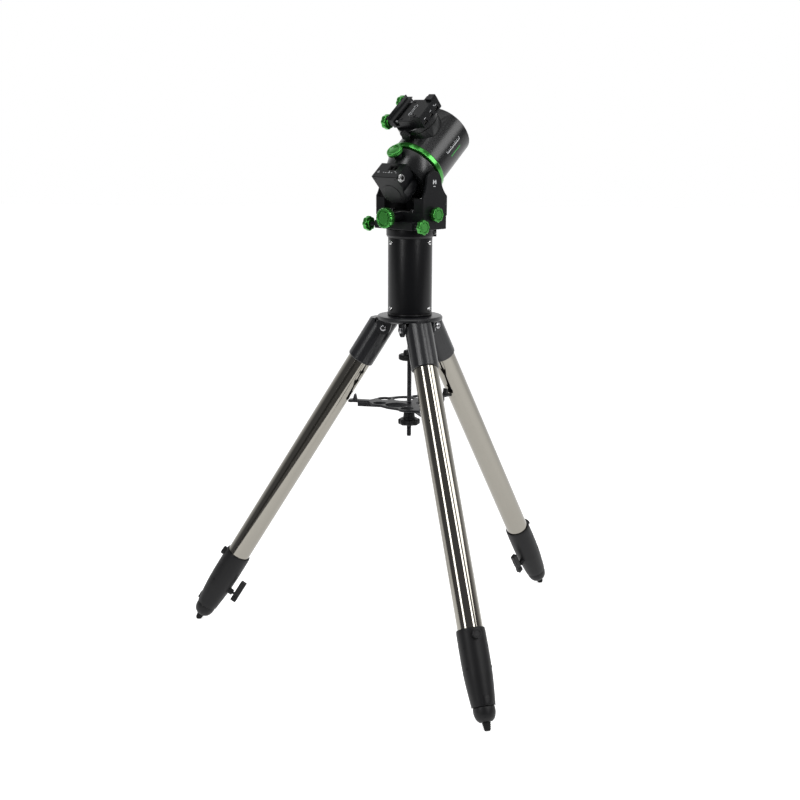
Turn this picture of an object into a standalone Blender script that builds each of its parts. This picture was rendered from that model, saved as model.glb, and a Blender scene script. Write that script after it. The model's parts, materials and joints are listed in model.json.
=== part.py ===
"""Strain-wave equatorial telescope mount on a pier extension and a steel tripod.

Metres, +Z up, +Y towards the pole. The origin is on the ground, in the middle of
the foot print, so the pier axis stands at PIER_Y. The head is modelled in a polar
frame: its X is east, its Y the polar axis and its Z the declination axis, and one
empty at HEAD_ORIGIN turns that frame up by the latitude.
"""
import math

import bmesh
import bpy
from mathutils import Matrix, Vector

# Driving dimensions -----------------------------------------------------------
GAP = 0.0004                      # running clearance between neighbours
SEGMENTS = 32                     # facets of a large round piece
SMALL_SEGMENTS = 16               # facets of a small round piece
LATITUDE = math.radians(40.0)

# Tripod
FOOT_RADIUS = 0.4947              # foot tips from the pier axis
LEG_TILT = math.radians(31.72)    # leg from the vertical
LEG_AZIMUTHS = {"north": 90.0, "southwest": 210.0, "southeast": 330.0}
HINGE_RADIUS = 0.049
HINGE_Z = 0.700
LEG_TUBE_RADIUS = 0.0254          # two-inch tube
LEG_WALL = 0.0015
INNER_TUBE_RADIUS = 0.0222
HUB_RADIUS = 0.0698
HUB_TOP_Z = 0.725
HUB_PLATE = 0.0095
HUB_STEP = 0.0030                 # the thick middle of the plate stands down by this much
EAR_INNER = 0.0292                # the ears stand on both sides of a leg's socket
EAR_THICKNESS = 0.0060
EAR_RADIUS = 0.0150
HINGE_BOLT_RADIUS = 0.004
SOCKET_RADIUS = 0.0288
SOCKET_BOTTOM = 0.736             # heights along a leg are measured from its foot tip
SOCKET_TOP = 0.862
SOCKET_SEAT = 0.7985              # the outer tube stops below this in the socket
SOCKET_LID = 0.0094               # flat tops above the hinge, under and beside the plate
SOCKET_SHOULDER = 0.0180
BOOT_BOTTOM = 0.0460
BOOT_LEDGE = 0.115                # the outer tube stops here inside the boot
BOOT_TOP = 0.195
FOOT_CAP_TOP = 0.0455
CLAMP_HEIGHT = 0.104
CLAMP_BAR = (0.0400, 0.0530)      # near and far face of the T handle from the leg axis
CLAMP_BAR_ENDS = (-0.0160, 0.0370)
BOSS_HEIGHT = 0.180

# Central rod and spreader
ROD_RADIUS = 0.005
ROD_BOTTOM_Z = 0.461
ROD_KNOB_Z = 0.6375
TRAY_Z = 0.530
TRAY_THICKNESS = 0.005
TRAY_TIP_RADIUS = 0.1334
TRAY_BOSS = 0.0160
TRAY_RIM = 0.0675                 # the edge beside each large hole
WIDE_HOLE = (0.0243, 0.0400)      # hole radius and its distance from the rod
NARROW_HOLE = (0.0145, 0.0640)
NARROW_HOLE_TURN = 22             # degrees to each side of an arm
NARROW_HOLE_RIM = 0.0185
TRAY_KNOB_Z = 0.4950

# Pier extension
PIER_RADIUS = 0.0465
PIER_WALL = 0.003
PIER_TOP_Z = 0.888
ADAPTER_RADIUS = 0.0503
ADAPTER_TOP_Z = 0.9070

# Azimuth base with its two altitude arms
BASE_Z = 0.9075
BASE_DECK_Z = 0.943
BASE_HALF_WIDTH = 0.0665
BASE_SOUTH = -0.0354
BASE_NORTH = 0.0410
SHOULDER_INNER = 0.0410
SHOULDER_Z = 0.9600
NOSE_HALF_WIDTH = 0.0560          # block in front of the base that holds the azimuth screws
NOSE_SOUTH = -0.0530
NOSE_TOP_Z = 0.9245
ARM_INNER = 0.0604
ARM_HEAD_RADIUS = 0.0238
REAR_WALL_INNER = 0.0125          # low walls behind the housing, either side of its lever
REAR_WALL_Y = (0.0330, 0.0385)
REAR_WALL_TOP = 0.9620
ARM_STEP = 0.0003                 # the arms stand back from the deck block by this much
PIVOT_Y = -0.0005
PIVOT_Z = 1.0040
ALTITUDE_SCREW_Z = 0.932
ALTITUDE_KNOB_Y = -0.0655
AZIMUTH_SCREW_Y = -0.0460
AZIMUTH_SCREW_Z = 0.9155
AZIMUTH_KNOB_X = 0.0678
LOCK_Y = -0.0014
LOCK_Z = 0.9389

# Head, in the polar frame
HEAD_Z = 1.018
CYLINDER_RADIUS = 0.060
RA_SOUTH = -0.022
RA_SOUTH_RADIUS = 0.050           # the lower housing tapers to this
RA_SEAM = 0.0140
RING_BOTTOM = 0.0164
RING_TOP = 0.0295
RING_RADIUS = 0.0645
RA_NORTH = 0.1426
BLOCK_SOUTH = -0.0650
BLOCK_TOP = 0.0506
BLOCK_BOTTOM = -0.0200
BLOCK_EAST = (                    # (b, c) corners of the electronics housing, east side
    (BLOCK_TOP, 0.0344),
    (0.0224, 0.0362),
    (0.0110, 0.0315),
    (-0.0016, 0.0363),
    (-0.0122, 0.0322),
    (BLOCK_BOTTOM, 0.0180),
)
BLOCK_WEST = (
    (BLOCK_TOP, -0.0344),
    (0.0178, -0.0315),
    (-0.0020, -0.0325),
    (-0.0122, -0.0300),
    (BLOCK_BOTTOM, -0.0180),
)
COVER_B = 0.0080                  # middle of the round end cover
PLUG_SPOT = (0.0350, -0.0560, 0.0420)
PORT_A = -0.0370                  # middle of the port block on the top facet
PORT_C = 0.0080
DEC_AXIS_A = 0.0850
DEC_NECK_RADIUS = 0.0440
DEC_NECK_TOP = 0.0665
DEC_FLANGE_TOP = 0.0800
SADDLE_FLOOR = 0.0990
SADDLE_HALF_LENGTH = 0.0340
SADDLE_EAST = 0.0500
FIXED_JAW_WEST = 0.0260
FIXED_JAW_TOP = 0.1085
FLOOR_WEST = -0.0155
JAW_HALF_LENGTH = 0.0375
SADDLE_KNOB_SPACING = 0.060
SADDLE_SCREW_B = 0.0930
JAW_EAST = FLOOR_WEST - 0.0045
RA_BRAKE_A = -0.0060
HOUSING_WALL = 0.0060
SPLINE_SEAT = 0.0385              # bore that holds the RA drive's toothed ring
NECK_BORE = 0.0340
MOTOR_RADIUS = 0.0140
PIVOT_PIN_RADIUS = 0.0070
PIVOT_BOSS_RADIUS = 0.0115
COVER_RADIUS = 0.0212
PLUG_RADIUS = 0.0062
PORT_HALF = (0.0120, 0.0070)
SADDLE_WEST = -0.0360             # clear of the knobs when the jaw is closed
SADDLE_PORTS = ((-0.0235, 0.0110), (-0.0015, 0.0080), (0.0185, 0.0120))
SADDLE_PLATE = 0.0062             # thickness under the moving jaw
DEC_BRAKE_C = 0.0050
DEC_BRAKE_B = 0.0752

LEG_OFFSET = (
    (FOOT_RADIUS - HINGE_RADIUS) * math.cos(LEG_TILT) - HINGE_Z * math.sin(LEG_TILT)
)
LEG_DROP = (
    (FOOT_RADIUS - HINGE_RADIUS) * math.sin(LEG_TILT) + HINGE_Z * math.cos(LEG_TILT)
)
# The altitude pivot in the polar frame.
PIVOT_A = PIVOT_Y * math.cos(LATITUDE) + (PIVOT_Z - HEAD_Z) * math.sin(LATITUDE)
PIVOT_B = -PIVOT_Y * math.sin(LATITUDE) + (PIVOT_Z - HEAD_Z) * math.cos(LATITUDE)
# The south feet and the north foot are equally far from the origin.
PIER_Y = -0.1198

SIDES = {"east": 1, "west": -1}
LEVER_SLOT_SOUTH = -0.0120

AXES = {
    "X": Matrix(((0, 0, 1), (1, 0, 0), (0, 1, 0))),
    "Y": Matrix(((0, 1, 0), (0, 0, 1), (1, 0, 0))),
    "Z": Matrix.Identity(3),
}
MATERIALS = {
    "satin_black": ((0.030, 0.031, 0.034, 1), 0.42, 0.55),
    "powder_black": ((0.022, 0.023, 0.026, 1), 0.50, 0.25),
    "plastic_black": ((0.035, 0.035, 0.038, 1), 0.55, 0.0),
    "green_anodised": ((0.10, 0.52, 0.11, 1), 0.32, 0.75),
    "stainless": ((0.72, 0.71, 0.69, 1), 0.16, 1.0),
    "zinc": ((0.60, 0.60, 0.60, 1), 0.35, 1.0),
    "cast_grey": ((0.045, 0.046, 0.050, 1), 0.55, 0.2),
    "bearing_steel": ((0.55, 0.56, 0.58, 1), 0.25, 1.0),
    "motor_black": ((0.12, 0.12, 0.13, 1), 0.50, 0.6),
}


# Tools ------------------------------------------------------------------------
def clear_scene():
    for item in list(bpy.data.objects):
        bpy.data.objects.remove(item, do_unlink=True)


def material(name):
    """Return the named Principled material, making it on its first use."""
    found = bpy.data.materials.get(name)
    if found:
        return found
    colour, roughness, metallic = MATERIALS[name]
    made = bpy.data.materials.new(name)
    made.use_nodes = True
    shader = made.node_tree.nodes["Principled BSDF"]
    shader.inputs["Base Color"].default_value = colour
    shader.inputs["Roughness"].default_value = roughness
    shader.inputs["Metallic"].default_value = metallic
    made.diffuse_color = colour
    return made


def empty(name, location, rotation=(0, 0, 0), parent=None):
    """An empty whose origin is a joint axis or the corner of a frame."""
    made = bpy.data.objects.new(name, None)
    made.location = location
    made.rotation_euler = rotation
    made.parent = parent
    bpy.context.scene.collection.objects.link(made)
    return made


def piece(name, solid, look, parent, location=(0, 0, 0), rotation=(0, 0, 0)):
    """Turn a bmesh into a named object with smooth round faces and sharp edges."""
    bmesh.ops.recalc_face_normals(solid, faces=solid.faces)
    mesh = bpy.data.meshes.new(name)
    solid.to_mesh(mesh)
    solid.free()
    mesh.shade_smooth()
    mesh.set_sharp_from_angle(angle=math.radians(35))
    mesh.materials.append(material(look))
    made = bpy.data.objects.new(name, mesh)
    made.location = location
    made.rotation_euler = rotation
    made.parent = parent
    bpy.context.scene.collection.objects.link(made)
    return made


def tool(name, solid, parent, location=(0, 0, 0), rotation=(0, 0, 0)):
    """A solid used only by Boolean modifiers."""
    made = piece(name, solid, "plastic_black", parent, location, rotation)
    made.hide_render = True
    made.display_type = "WIRE"
    return made


def combine(target, other, operation):
    change = target.modifiers.new(other.name, "BOOLEAN")
    change.operation = operation
    change.solver = "EXACT"
    change.object = other


def cut(target, *others):
    for other in others:
        combine(target, other, "DIFFERENCE")


def join(target, *others):
    for other in others:
        combine(target, other, "UNION")


def place(solid, axis="Z", centre=(0, 0, 0)):
    """Lay a solid made along Z on another axis and move it."""
    bmesh.ops.transform(
        solid, matrix=Matrix.Translation(centre) @ AXES[axis].to_4x4(), verts=solid.verts
    )
    return solid


def turned(profile, segments=SEGMENTS, axis="Z", centre=(0, 0, 0)):
    """Turn (radius, height) points about an axis; off-axis ends close into a ring."""
    solid = bmesh.new()
    rows = []
    for radius, height in profile:
        count = segments if radius > 0 else 1
        turns = [2 * math.pi * k / segments for k in range(count)]
        rows.append(
            [
                solid.verts.new((radius * math.cos(t), radius * math.sin(t), height))
                for t in turns
            ]
        )
    pairs = list(zip(rows, rows[1:]))
    if profile[0][0] > 0:
        pairs.append((rows[-1], rows[0]))
    for low, high in pairs:
        if len(low) == len(high) == 1:
            continue
        for k in range(segments):
            here = [low[k % len(low)], low[(k + 1) % len(low)]]
            there = [high[(k + 1) % len(high)], high[k % len(high)]]
            solid.faces.new(list(dict.fromkeys(here + there)))
    return place(solid, axis, centre)


def disc(radius, low, high, chamfer=0.0, segments=SEGMENTS, axis="Z", centre=(0, 0, 0)):
    """A solid cylinder with an optional chamfer at both ends."""
    if chamfer:
        profile = [
            (0, low),
            (radius - chamfer, low),
            (radius, low + chamfer),
            (radius, high - chamfer),
            (radius - chamfer, high),
            (0, high),
        ]
    else:
        profile = [(0, low), (radius, low), (radius, high), (0, high)]
    return turned(profile, segments, axis, centre)


def sleeve(outer, inner, low, high, chamfer=0.0, segments=SEGMENTS, axis="Z", centre=(0, 0, 0)):
    """A tube with square bores and an optional chamfer outside."""
    profile = [
        (inner, low),
        (outer - chamfer, low),
        (outer, low + chamfer),
        (outer, high - chamfer),
        (outer - chamfer, high),
        (inner, high),
    ]
    if not chamfer:
        profile = [(inner, low), (outer, low), (outer, high), (inner, high)]
    return turned(profile, segments, axis, centre)


def prism(outline, low, high, axis="Z", centre=(0, 0, 0), bevel=0.0):
    """Extrude a closed outline along an axis, with its end edges bevelled."""
    solid = bmesh.new()
    base = solid.faces.new([solid.verts.new((u, v, low)) for u, v in outline])
    grown = bmesh.ops.extrude_face_region(solid, geom=[base])["geom"]
    lifted = [item for item in grown if isinstance(item, bmesh.types.BMVert)]
    bmesh.ops.translate(solid, verts=lifted, vec=Vector((0, 0, high - low)))
    if bevel:
        flat = [
            edge
            for edge in solid.edges
            if abs(edge.verts[0].co.z - edge.verts[1].co.z) < 1e-9
        ]
        bmesh.ops.bevel(
            solid, geom=flat, offset=bevel, segments=1, affect="EDGES", profile=0.5
        )
    return place(solid, axis, centre)


def box(low, high):
    """An axis-aligned block between two corners."""
    outline = [(low[0], low[1]), (high[0], low[1]), (high[0], high[1]), (low[0], high[1])]
    return prism(outline, low[2], high[2])


def arc(centre, radius, start, end, steps):
    """Points on an arc, angles in degrees."""
    turns = [math.radians(start + (end - start) * k / steps) for k in range(steps + 1)]
    return [(centre[0] + radius * math.cos(t), centre[1] + radius * math.sin(t)) for t in turns]


def knob_outline(radius, lobes, depth, points):
    """A grip outline with a round finger hollow between each pair of lobes."""
    count = lobes * points
    outline = []
    for k in range(count):
        turn = 2 * math.pi * k / count
        hollow = 0.5 * (1 - math.cos(lobes * turn))
        reach = radius - depth * hollow
        outline.append((reach * math.cos(turn), reach * math.sin(turn)))
    return outline


def knob(radius, height, screw_radius, screw_length, axis, lobes=8, depth=0.0022):
    """A scalloped knob with its face at +height and its screw running towards -Z."""
    points = 4
    count = lobes * points
    solid = bmesh.new()
    outline = knob_outline(radius, lobes, depth, points)
    collar = radius * 0.62
    rows = [
        [(0, 0, -screw_length)],
        ring_points(screw_radius, -screw_length, count),
        ring_points(screw_radius, 0, count),
        ring_points(collar, 0, count),
        ring_points(collar, height * 0.25, count),
        [(u * 0.93, v * 0.93, height * 0.25) for u, v in outline],
        [(u, v, height * 0.38) for u, v in outline],
        [(u, v, height * 0.88) for u, v in outline],
        [(u * 0.90, v * 0.90, height) for u, v in outline],
        [(0, 0, height)],
    ]
    loft(solid, rows)
    return place(solid, axis)


def ring_points(radius, height, count):
    turns = [2 * math.pi * k / count for k in range(count)]
    return [(radius * math.cos(t), radius * math.sin(t), height) for t in turns]


def loft(solid, rows):
    """Skin rows of points; a row of one point closes an end."""
    made = [[solid.verts.new(point) for point in row] for row in rows]
    for low, high in zip(made, made[1:]):
        count = max(len(low), len(high))
        for k in range(count):
            here = [low[k % len(low)], low[(k + 1) % len(low)]]
            there = [high[(k + 1) % len(high)], high[k % len(high)]]
            solid.faces.new(list(dict.fromkeys(here + there)))


# Tripod -----------------------------------------------------------------------
def hub(root):
    """Top plate with a pair of hinge ears for each leg and a boss for the rod."""
    plate = piece(
        "hub_plate",
        turned(
            [
                (ROD_RADIUS + GAP, HUB_TOP_Z - 0.036),
                (0.0170, HUB_TOP_Z - 0.036),
                (0.0200, HUB_TOP_Z - HUB_PLATE - HUB_STEP),
                (HUB_RADIUS - 0.0080, HUB_TOP_Z - HUB_PLATE - HUB_STEP),
                (HUB_RADIUS - 0.0045, HUB_TOP_Z - HUB_PLATE),
                (HUB_RADIUS - 0.0010, HUB_TOP_Z - HUB_PLATE),
                (HUB_RADIUS, HUB_TOP_Z - HUB_PLATE + 0.0015),
                (HUB_RADIUS, HUB_TOP_Z - 0.0040),
                (HUB_RADIUS - 0.0025, HUB_TOP_Z - 0.0008),
                (HUB_RADIUS - 0.0080, HUB_TOP_Z),
                (ROD_RADIUS + GAP, HUB_TOP_Z),
            ]
        ),
        "powder_black",
        root,
    )
    for leg, azimuth in LEG_AZIMUTHS.items():
        turn = (0, 0, math.radians(azimuth - 90))
        ear = [(0.0300, HUB_TOP_Z - HUB_PLATE - 0.001)]
        ear += arc((HINGE_RADIUS, HINGE_Z), EAR_RADIUS, 200, 340, 8)
        ear += [(0.0645, HUB_TOP_Z - HUB_PLATE - 0.001)]
        for side in (-1, 1):
            solid = x_prism(ear, EAR_INNER, EAR_INNER + EAR_THICKNESS, side, 0.0)
            join(plate, tool(f"ear_{leg}_{side}", solid, root, rotation=turn))
        bore = disc(HINGE_BOLT_RADIUS + GAP, -0.040, 0.040, 0, SMALL_SEGMENTS, "X")
        bmesh.ops.translate(bore, verts=bore.verts, vec=(0, HINGE_RADIUS, HINGE_Z))
        cut(plate, tool(f"ear_bore_{leg}", bore, root, rotation=turn))


def leg(name, azimuth, root):
    """One leg; its frame has Z up the leg, Y outwards and X along the hinge."""
    hinge = empty(
        f"hinge_{name}",
        radial(azimuth, HINGE_RADIUS, HINGE_Z),
        (LEG_TILT, 0, math.radians(azimuth - 90)),
        root,
    )
    axis = (0, LEG_OFFSET, -LEG_DROP)
    socket(name, hinge, axis)
    piece(
        f"leg_tube_{name}",
        sleeve(
            LEG_TUBE_RADIUS,
            LEG_TUBE_RADIUS - LEG_WALL,
            BOOT_LEDGE + GAP,
            SOCKET_SEAT - GAP,
            segments=SEGMENTS,
            centre=axis,
        ),
        "stainless",
        hinge,
    )
    boot(name, hinge, axis)
    slide = empty(f"slide_{name}", axis, parent=hinge)
    piece(
        f"leg_extension_{name}",
        sleeve(
            INNER_TUBE_RADIUS, INNER_TUBE_RADIUS - LEG_WALL, FOOT_CAP_TOP + GAP, 0.700, segments=32
        ),
        "stainless",
        slide,
    )
    foot_cap(name, slide)
    clamp_knob(name, hinge)
    hinge_bolt(name, hinge)


def radial(azimuth, radius, height):
    turn = math.radians(azimuth)
    return (radius * math.cos(turn), radius * math.sin(turn), height)


def socket(name, hinge, axis):
    """Cast head of a leg: a sleeve on the tube, solid round the hinge bolt."""
    body = piece(
        f"leg_socket_{name}",
        turned(
            [
                (LEG_TUBE_RADIUS + GAP, SOCKET_BOTTOM),
                (SOCKET_RADIUS - 0.0008, SOCKET_BOTTOM),
                (SOCKET_RADIUS, SOCKET_BOTTOM + 0.0015),
                (SOCKET_RADIUS, SOCKET_TOP),
                (0, SOCKET_TOP),
                (0, SOCKET_SEAT),
                (LEG_TUBE_RADIUS + GAP, SOCKET_SEAT),
            ],
            centre=axis,
        ),
        "powder_black",
        hinge,
    )
    # Flat tops that stay clear of the plate, lower where they pass under it.
    upright = (-LEG_TILT, 0, 0)
    under = box((-0.040, -0.060, SOCKET_LID), (0.040, HUB_RADIUS - HINGE_RADIUS + 0.0008, 0.070))
    beside = box((-0.041, -0.061, SOCKET_SHOULDER), (0.041, 0.080, 0.071))
    cut(body, tool(f"socket_under_{name}", under, hinge, rotation=upright))
    cut(body, tool(f"socket_beside_{name}", beside, hinge, rotation=upright))
    bore = disc(HINGE_BOLT_RADIUS + GAP, -0.040, 0.040, 0, SMALL_SEGMENTS, "X")
    cut(body, tool(f"socket_bore_{name}", bore, hinge))


def boot(name, hinge, axis):
    """Moulded clamp at the lower end of the outer tube."""
    body = piece(
        f"leg_boot_{name}",
        turned(
            [
                (INNER_TUBE_RADIUS + GAP, BOOT_BOTTOM),
                (0.0212 + 0.0022, BOOT_BOTTOM),
                (0.0250, 0.062),
                (0.0268, 0.082),
                (0.0284, 0.105),
                (0.0291, 0.135),
                (0.0291, 0.165),
                (0.0287, BOOT_TOP - 0.002),
                (0.0280, BOOT_TOP),
                (LEG_TUBE_RADIUS + GAP, BOOT_TOP),
                (LEG_TUBE_RADIUS + GAP, BOOT_LEDGE),
                (INNER_TUBE_RADIUS + GAP, BOOT_LEDGE),
            ],
            centre=axis,
        ),
        "plastic_black",
        hinge,
    )
    boss = disc(0.0095, 0.0270, 0.0355, 0.0010, SMALL_SEGMENTS, "Y")
    bmesh.ops.translate(boss, verts=boss.verts, vec=(0, LEG_OFFSET, BOSS_HEIGHT - LEG_DROP))
    stub = disc(0.0068, -0.0365, -0.0262, 0.0, SMALL_SEGMENTS, "Y")
    bmesh.ops.translate(stub, verts=stub.verts, vec=(0, LEG_OFFSET, CLAMP_HEIGHT - LEG_DROP))
    join(body, tool(f"boot_boss_{name}", boss, hinge), tool(f"boot_stub_{name}", stub, hinge))
    bore = disc(0.0034, -0.0500, -0.0205, 0.0, SMALL_SEGMENTS, "Y")
    bmesh.ops.translate(bore, verts=bore.verts, vec=(0, LEG_OFFSET, CLAMP_HEIGHT - LEG_DROP))
    cut(body, tool(f"boot_bore_{name}", bore, hinge))


def foot_cap(name, slide):
    """Round plastic cap with its rubber tip, worn flat where it meets the ground."""
    cap = piece(
        f"leg_foot_{name}",
        turned(
            [
                (0, 0),
                (0.0048, 0),
                (0.0058, 0.001),
                (0.0078, 0.0160),
                (0.0130, 0.0175),
                (0.0178, 0.0225),
                (0.0206, 0.0290),
                (0.0218, 0.0360),
                (0.0218, 0.0420),
                (0.0212, FOOT_CAP_TOP),
                (0, FOOT_CAP_TOP),
            ],
            segments=24,
        ),
        "plastic_black",
        slide,
    )
    ground = box((-0.030, -0.030, -0.030), (0.030, 0.030, 0.0))
    cut(cap, tool(f"foot_ground_{name}", ground, slide, rotation=(-LEG_TILT, 0, 0)))


def clamp_knob(name, hinge):
    """T handle and screw that pinch the boot onto the inner tube."""
    grip = empty(
        f"clamp_axis_{name}", (0, LEG_OFFSET, CLAMP_HEIGHT - LEG_DROP), parent=hinge
    )
    half_width = 0.0056
    waist = 0.0042                # the bar is pinched where its screw enters
    low, high = CLAMP_BAR_ENDS
    east = [
        (half_width - 0.0012, low),
        (half_width, low + 0.0015),
        (half_width, -0.0055),
        (waist, -0.0030),
        (waist, 0.0030),
        (half_width, 0.0055),
        (half_width, high - 0.0015),
        (half_width - 0.0012, high),
    ]
    outline = east + [(-x, y) for x, y in reversed(east)]
    bar = prism(outline, CLAMP_BAR[0], CLAMP_BAR[1], "Z", bevel=0.0010)
    handle = piece(f"clamp_handle_{name}", bar, "plastic_black", grip)
    handle.rotation_euler = (math.radians(90), 0, 0)
    stem = disc(0.0030, INNER_TUBE_RADIUS + GAP, CLAMP_BAR[0] + 0.0035, 0.0, 16)
    screw = tool(f"clamp_screw_{name}", stem, grip)
    screw.rotation_euler = (math.radians(90), 0, 0)
    join(handle, screw)


def hinge_bolt(name, hinge):
    """Bolt through both ears and the tongue, with a domed nut at each end."""
    end = EAR_INNER + EAR_THICKNESS + GAP
    profile = [
        (0, -end - 0.0042),
        (0.0045, -end - 0.0042),
        (0.0068, -end - 0.0025),
        (0.0072, -end),
        (HINGE_BOLT_RADIUS, -end),
        (HINGE_BOLT_RADIUS, end),
        (0.0072, end),
        (0.0068, end + 0.0025),
        (0.0045, end + 0.0042),
        (0, end + 0.0042),
    ]
    piece(f"hinge_bolt_{name}", turned(profile, SMALL_SEGMENTS, "X"), "zinc", hinge)


def spreader(root):
    """Threaded rod, its two knobs and the accessory tray that pushes the legs out."""
    piece(
        "centre_rod",
        disc(ROD_RADIUS, ROD_BOTTOM_Z, HUB_TOP_Z + 0.010, 0.0006, SMALL_SEGMENTS),
        "zinc",
        root,
    )
    bore = ROD_RADIUS + GAP
    profile = [
        (bore, -0.0100),
        (0.0200, -0.0100),
        (0.0232, -0.0080),
        (0.0232, -0.0015),
        (0.0190, 0.0025),
        (0.0120, 0.0095),
        (0.0090, 0.0110),
        (bore, 0.0110),
    ]
    piece("rod_knob", turned(profile), "plastic_black", root, (0, 0, ROD_KNOB_Z))
    tray(root)
    lower = bmesh.new()
    outline = knob_outline(0.0235, 10, 0.0022, 4)
    count = len(outline)
    rows = [
        ring_points(bore, -0.0085, count),
        [(u * 0.92, v * 0.92, -0.0085) for u, v in outline],
        [(u, v, -0.0065) for u, v in outline],
        [(u, v, 0.0060) for u, v in outline],
        [(u * 0.92, v * 0.92, 0.0085) for u, v in outline],
        ring_points(0.0130, 0.0085, count),
        ring_points(0.0115, 0.0184, count),
        ring_points(bore, 0.0184, count),
        ring_points(bore, -0.0085, count),
    ]
    loft(lower, rows)
    bmesh.ops.remove_doubles(lower, verts=lower.verts, dist=1e-6)
    piece("tray_knob", lower, "plastic_black", root, (0, 0, TRAY_KNOB_Z))


def tray_outline():
    """Three arms between round lobes, with a straight edge beside each large hole."""
    arm_half = 0.0080
    pad_half = 0.0105
    tip = TRAY_TIP_RADIUS
    reach = NARROW_HOLE[1]
    turn = math.radians(NARROW_HOLE_TURN)
    lobe = arc((reach * math.cos(turn), reach * math.sin(turn)), NARROW_HOLE_RIM, 8, 104, 6)
    rim = (TRAY_RIM * math.cos(math.radians(60)), TRAY_RIM * math.sin(math.radians(60)))
    upper = [
        (tip, pad_half * 0.72),
        (tip - 0.0060, pad_half),
        (tip - 0.0100, arm_half),
        (0.0880, arm_half),
        *lobe,
        rim,
    ]
    lower = [(x, -y) for x, y in reversed(upper[:-1])]
    outline = []
    for azimuth in sorted(LEG_AZIMUTHS.values()):
        turn = Matrix.Rotation(math.radians(azimuth), 2)
        outline += [tuple(turn @ Vector(point)) for point in lower + upper]
    return outline


def tray(root):
    """Accessory tray: three arms with fins at their tips, ribs, and eyepiece holes."""
    tip = TRAY_TIP_RADIUS
    plate = piece(
        "spreader_tray",
        prism(tray_outline(), 0, TRAY_THICKNESS, bevel=0.0006),
        "cast_grey",
        root,
        (0, 0, TRAY_Z),
    )
    boss = tool("tray_boss", disc(0.0150, -TRAY_BOSS, 0.001, 0.0, 32), root, (0, 0, TRAY_Z))
    join(plate, boss)
    for azimuth in LEG_AZIMUTHS.values():
        turn = (0, 0, math.radians(azimuth - 90))
        rib = box((-0.0030, 0.0120, -0.0090), (0.0030, tip - 0.0200, 0.0010))
        join(plate, tool(f"tray_rib_{azimuth:.0f}", rib, root, (0, 0, TRAY_Z), turn))
        fin_side = [
            (tip - 0.0190, 0.0010),
            (tip - 0.0080, 0.0010),
            (tip - 0.0128, 0.0175),
            (tip - 0.0150, 0.0175),
        ]
        fin = prism(fin_side, -0.0050, 0.0050, "X")
        join(plate, tool(f"tray_fin_{azimuth:.0f}", fin, root, (0, 0, TRAY_Z), turn))
    turns = ((WIDE_HOLE, 60), (NARROW_HOLE, NARROW_HOLE_TURN), (NARROW_HOLE, -NARROW_HOLE_TURN))
    for azimuth in LEG_AZIMUTHS.values():
        for (radius, reach), offset in turns:
            hole = disc(radius, -0.004, 0.010, 0.0, SMALL_SEGMENTS)
            spot = radial(azimuth + offset, reach, TRAY_Z)
            cut(plate, tool(f"tray_hole_{azimuth + offset:.0f}", hole, root, spot))
    bore = disc(ROD_RADIUS + GAP, -0.040, 0.020, 0.0, SMALL_SEGMENTS)
    cut(plate, tool("tray_bore", bore, root, (0, 0, TRAY_Z)))


# Pier extension -----------------------------------------------------------------
def pier(root):
    """Tube with a turned plug at each end and the adapter ring on top."""
    inner = PIER_RADIUS - PIER_WALL
    piece(
        "pier_tube",
        sleeve(PIER_RADIUS, inner, HUB_TOP_Z + 0.0058, PIER_TOP_Z, 0.0004),
        "satin_black",
        root,
    )
    piece(
        "pier_foot_plug",
        turned(
            [
                (0.0300, HUB_TOP_Z + GAP),
                (PIER_RADIUS + 0.0002, HUB_TOP_Z + GAP),
                (PIER_RADIUS + 0.0010, HUB_TOP_Z + 0.0020),
                (PIER_RADIUS + 0.0010, HUB_TOP_Z + 0.0042),
                (PIER_RADIUS + 0.0002, HUB_TOP_Z + 0.0054),
                (inner - GAP, HUB_TOP_Z + 0.0054),
                (inner - GAP, HUB_TOP_Z + 0.0240),
                (0.0300, HUB_TOP_Z + 0.0240),
            ]
        ),
        "satin_black",
        root,
    )
    piece(
        "pier_head_plug",
        sleeve(inner - GAP, 0.0300, PIER_TOP_Z - 0.0220, PIER_TOP_Z - GAP, 0.0005),
        "satin_black",
        root,
    )
    ring = piece(
        "pier_adapter",
        turned(
            [
                (0.0200, PIER_TOP_Z + GAP),
                (PIER_RADIUS + 0.0008, PIER_TOP_Z + GAP),
                (PIER_RADIUS + 0.0016, PIER_TOP_Z + 0.0020),
                (ADAPTER_RADIUS - 0.0008, PIER_TOP_Z + 0.0040),
                (ADAPTER_RADIUS, PIER_TOP_Z + 0.0050),
                (ADAPTER_RADIUS, ADAPTER_TOP_Z - 0.0010),
                (ADAPTER_RADIUS - 0.0010, ADAPTER_TOP_Z),
                (0.0200, ADAPTER_TOP_Z),
            ]
        ),
        "satin_black",
        root,
    )
    lug = box((-0.0060, 0.0440, PIER_TOP_Z + 0.0025), (0.0060, 0.0548, ADAPTER_TOP_Z - GAP))
    join(ring, tool("adapter_lug", lug, root, rotation=(0, 0, math.radians(-48))))
    # The azimuth screws push against this peg.
    peg = box(
        (-0.0060, -0.0495, ADAPTER_TOP_Z - 0.006), (0.0060, -0.0425, AZIMUTH_SCREW_Z + 0.0050)
    )
    join(ring, tool("adapter_peg", peg, root))


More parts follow.
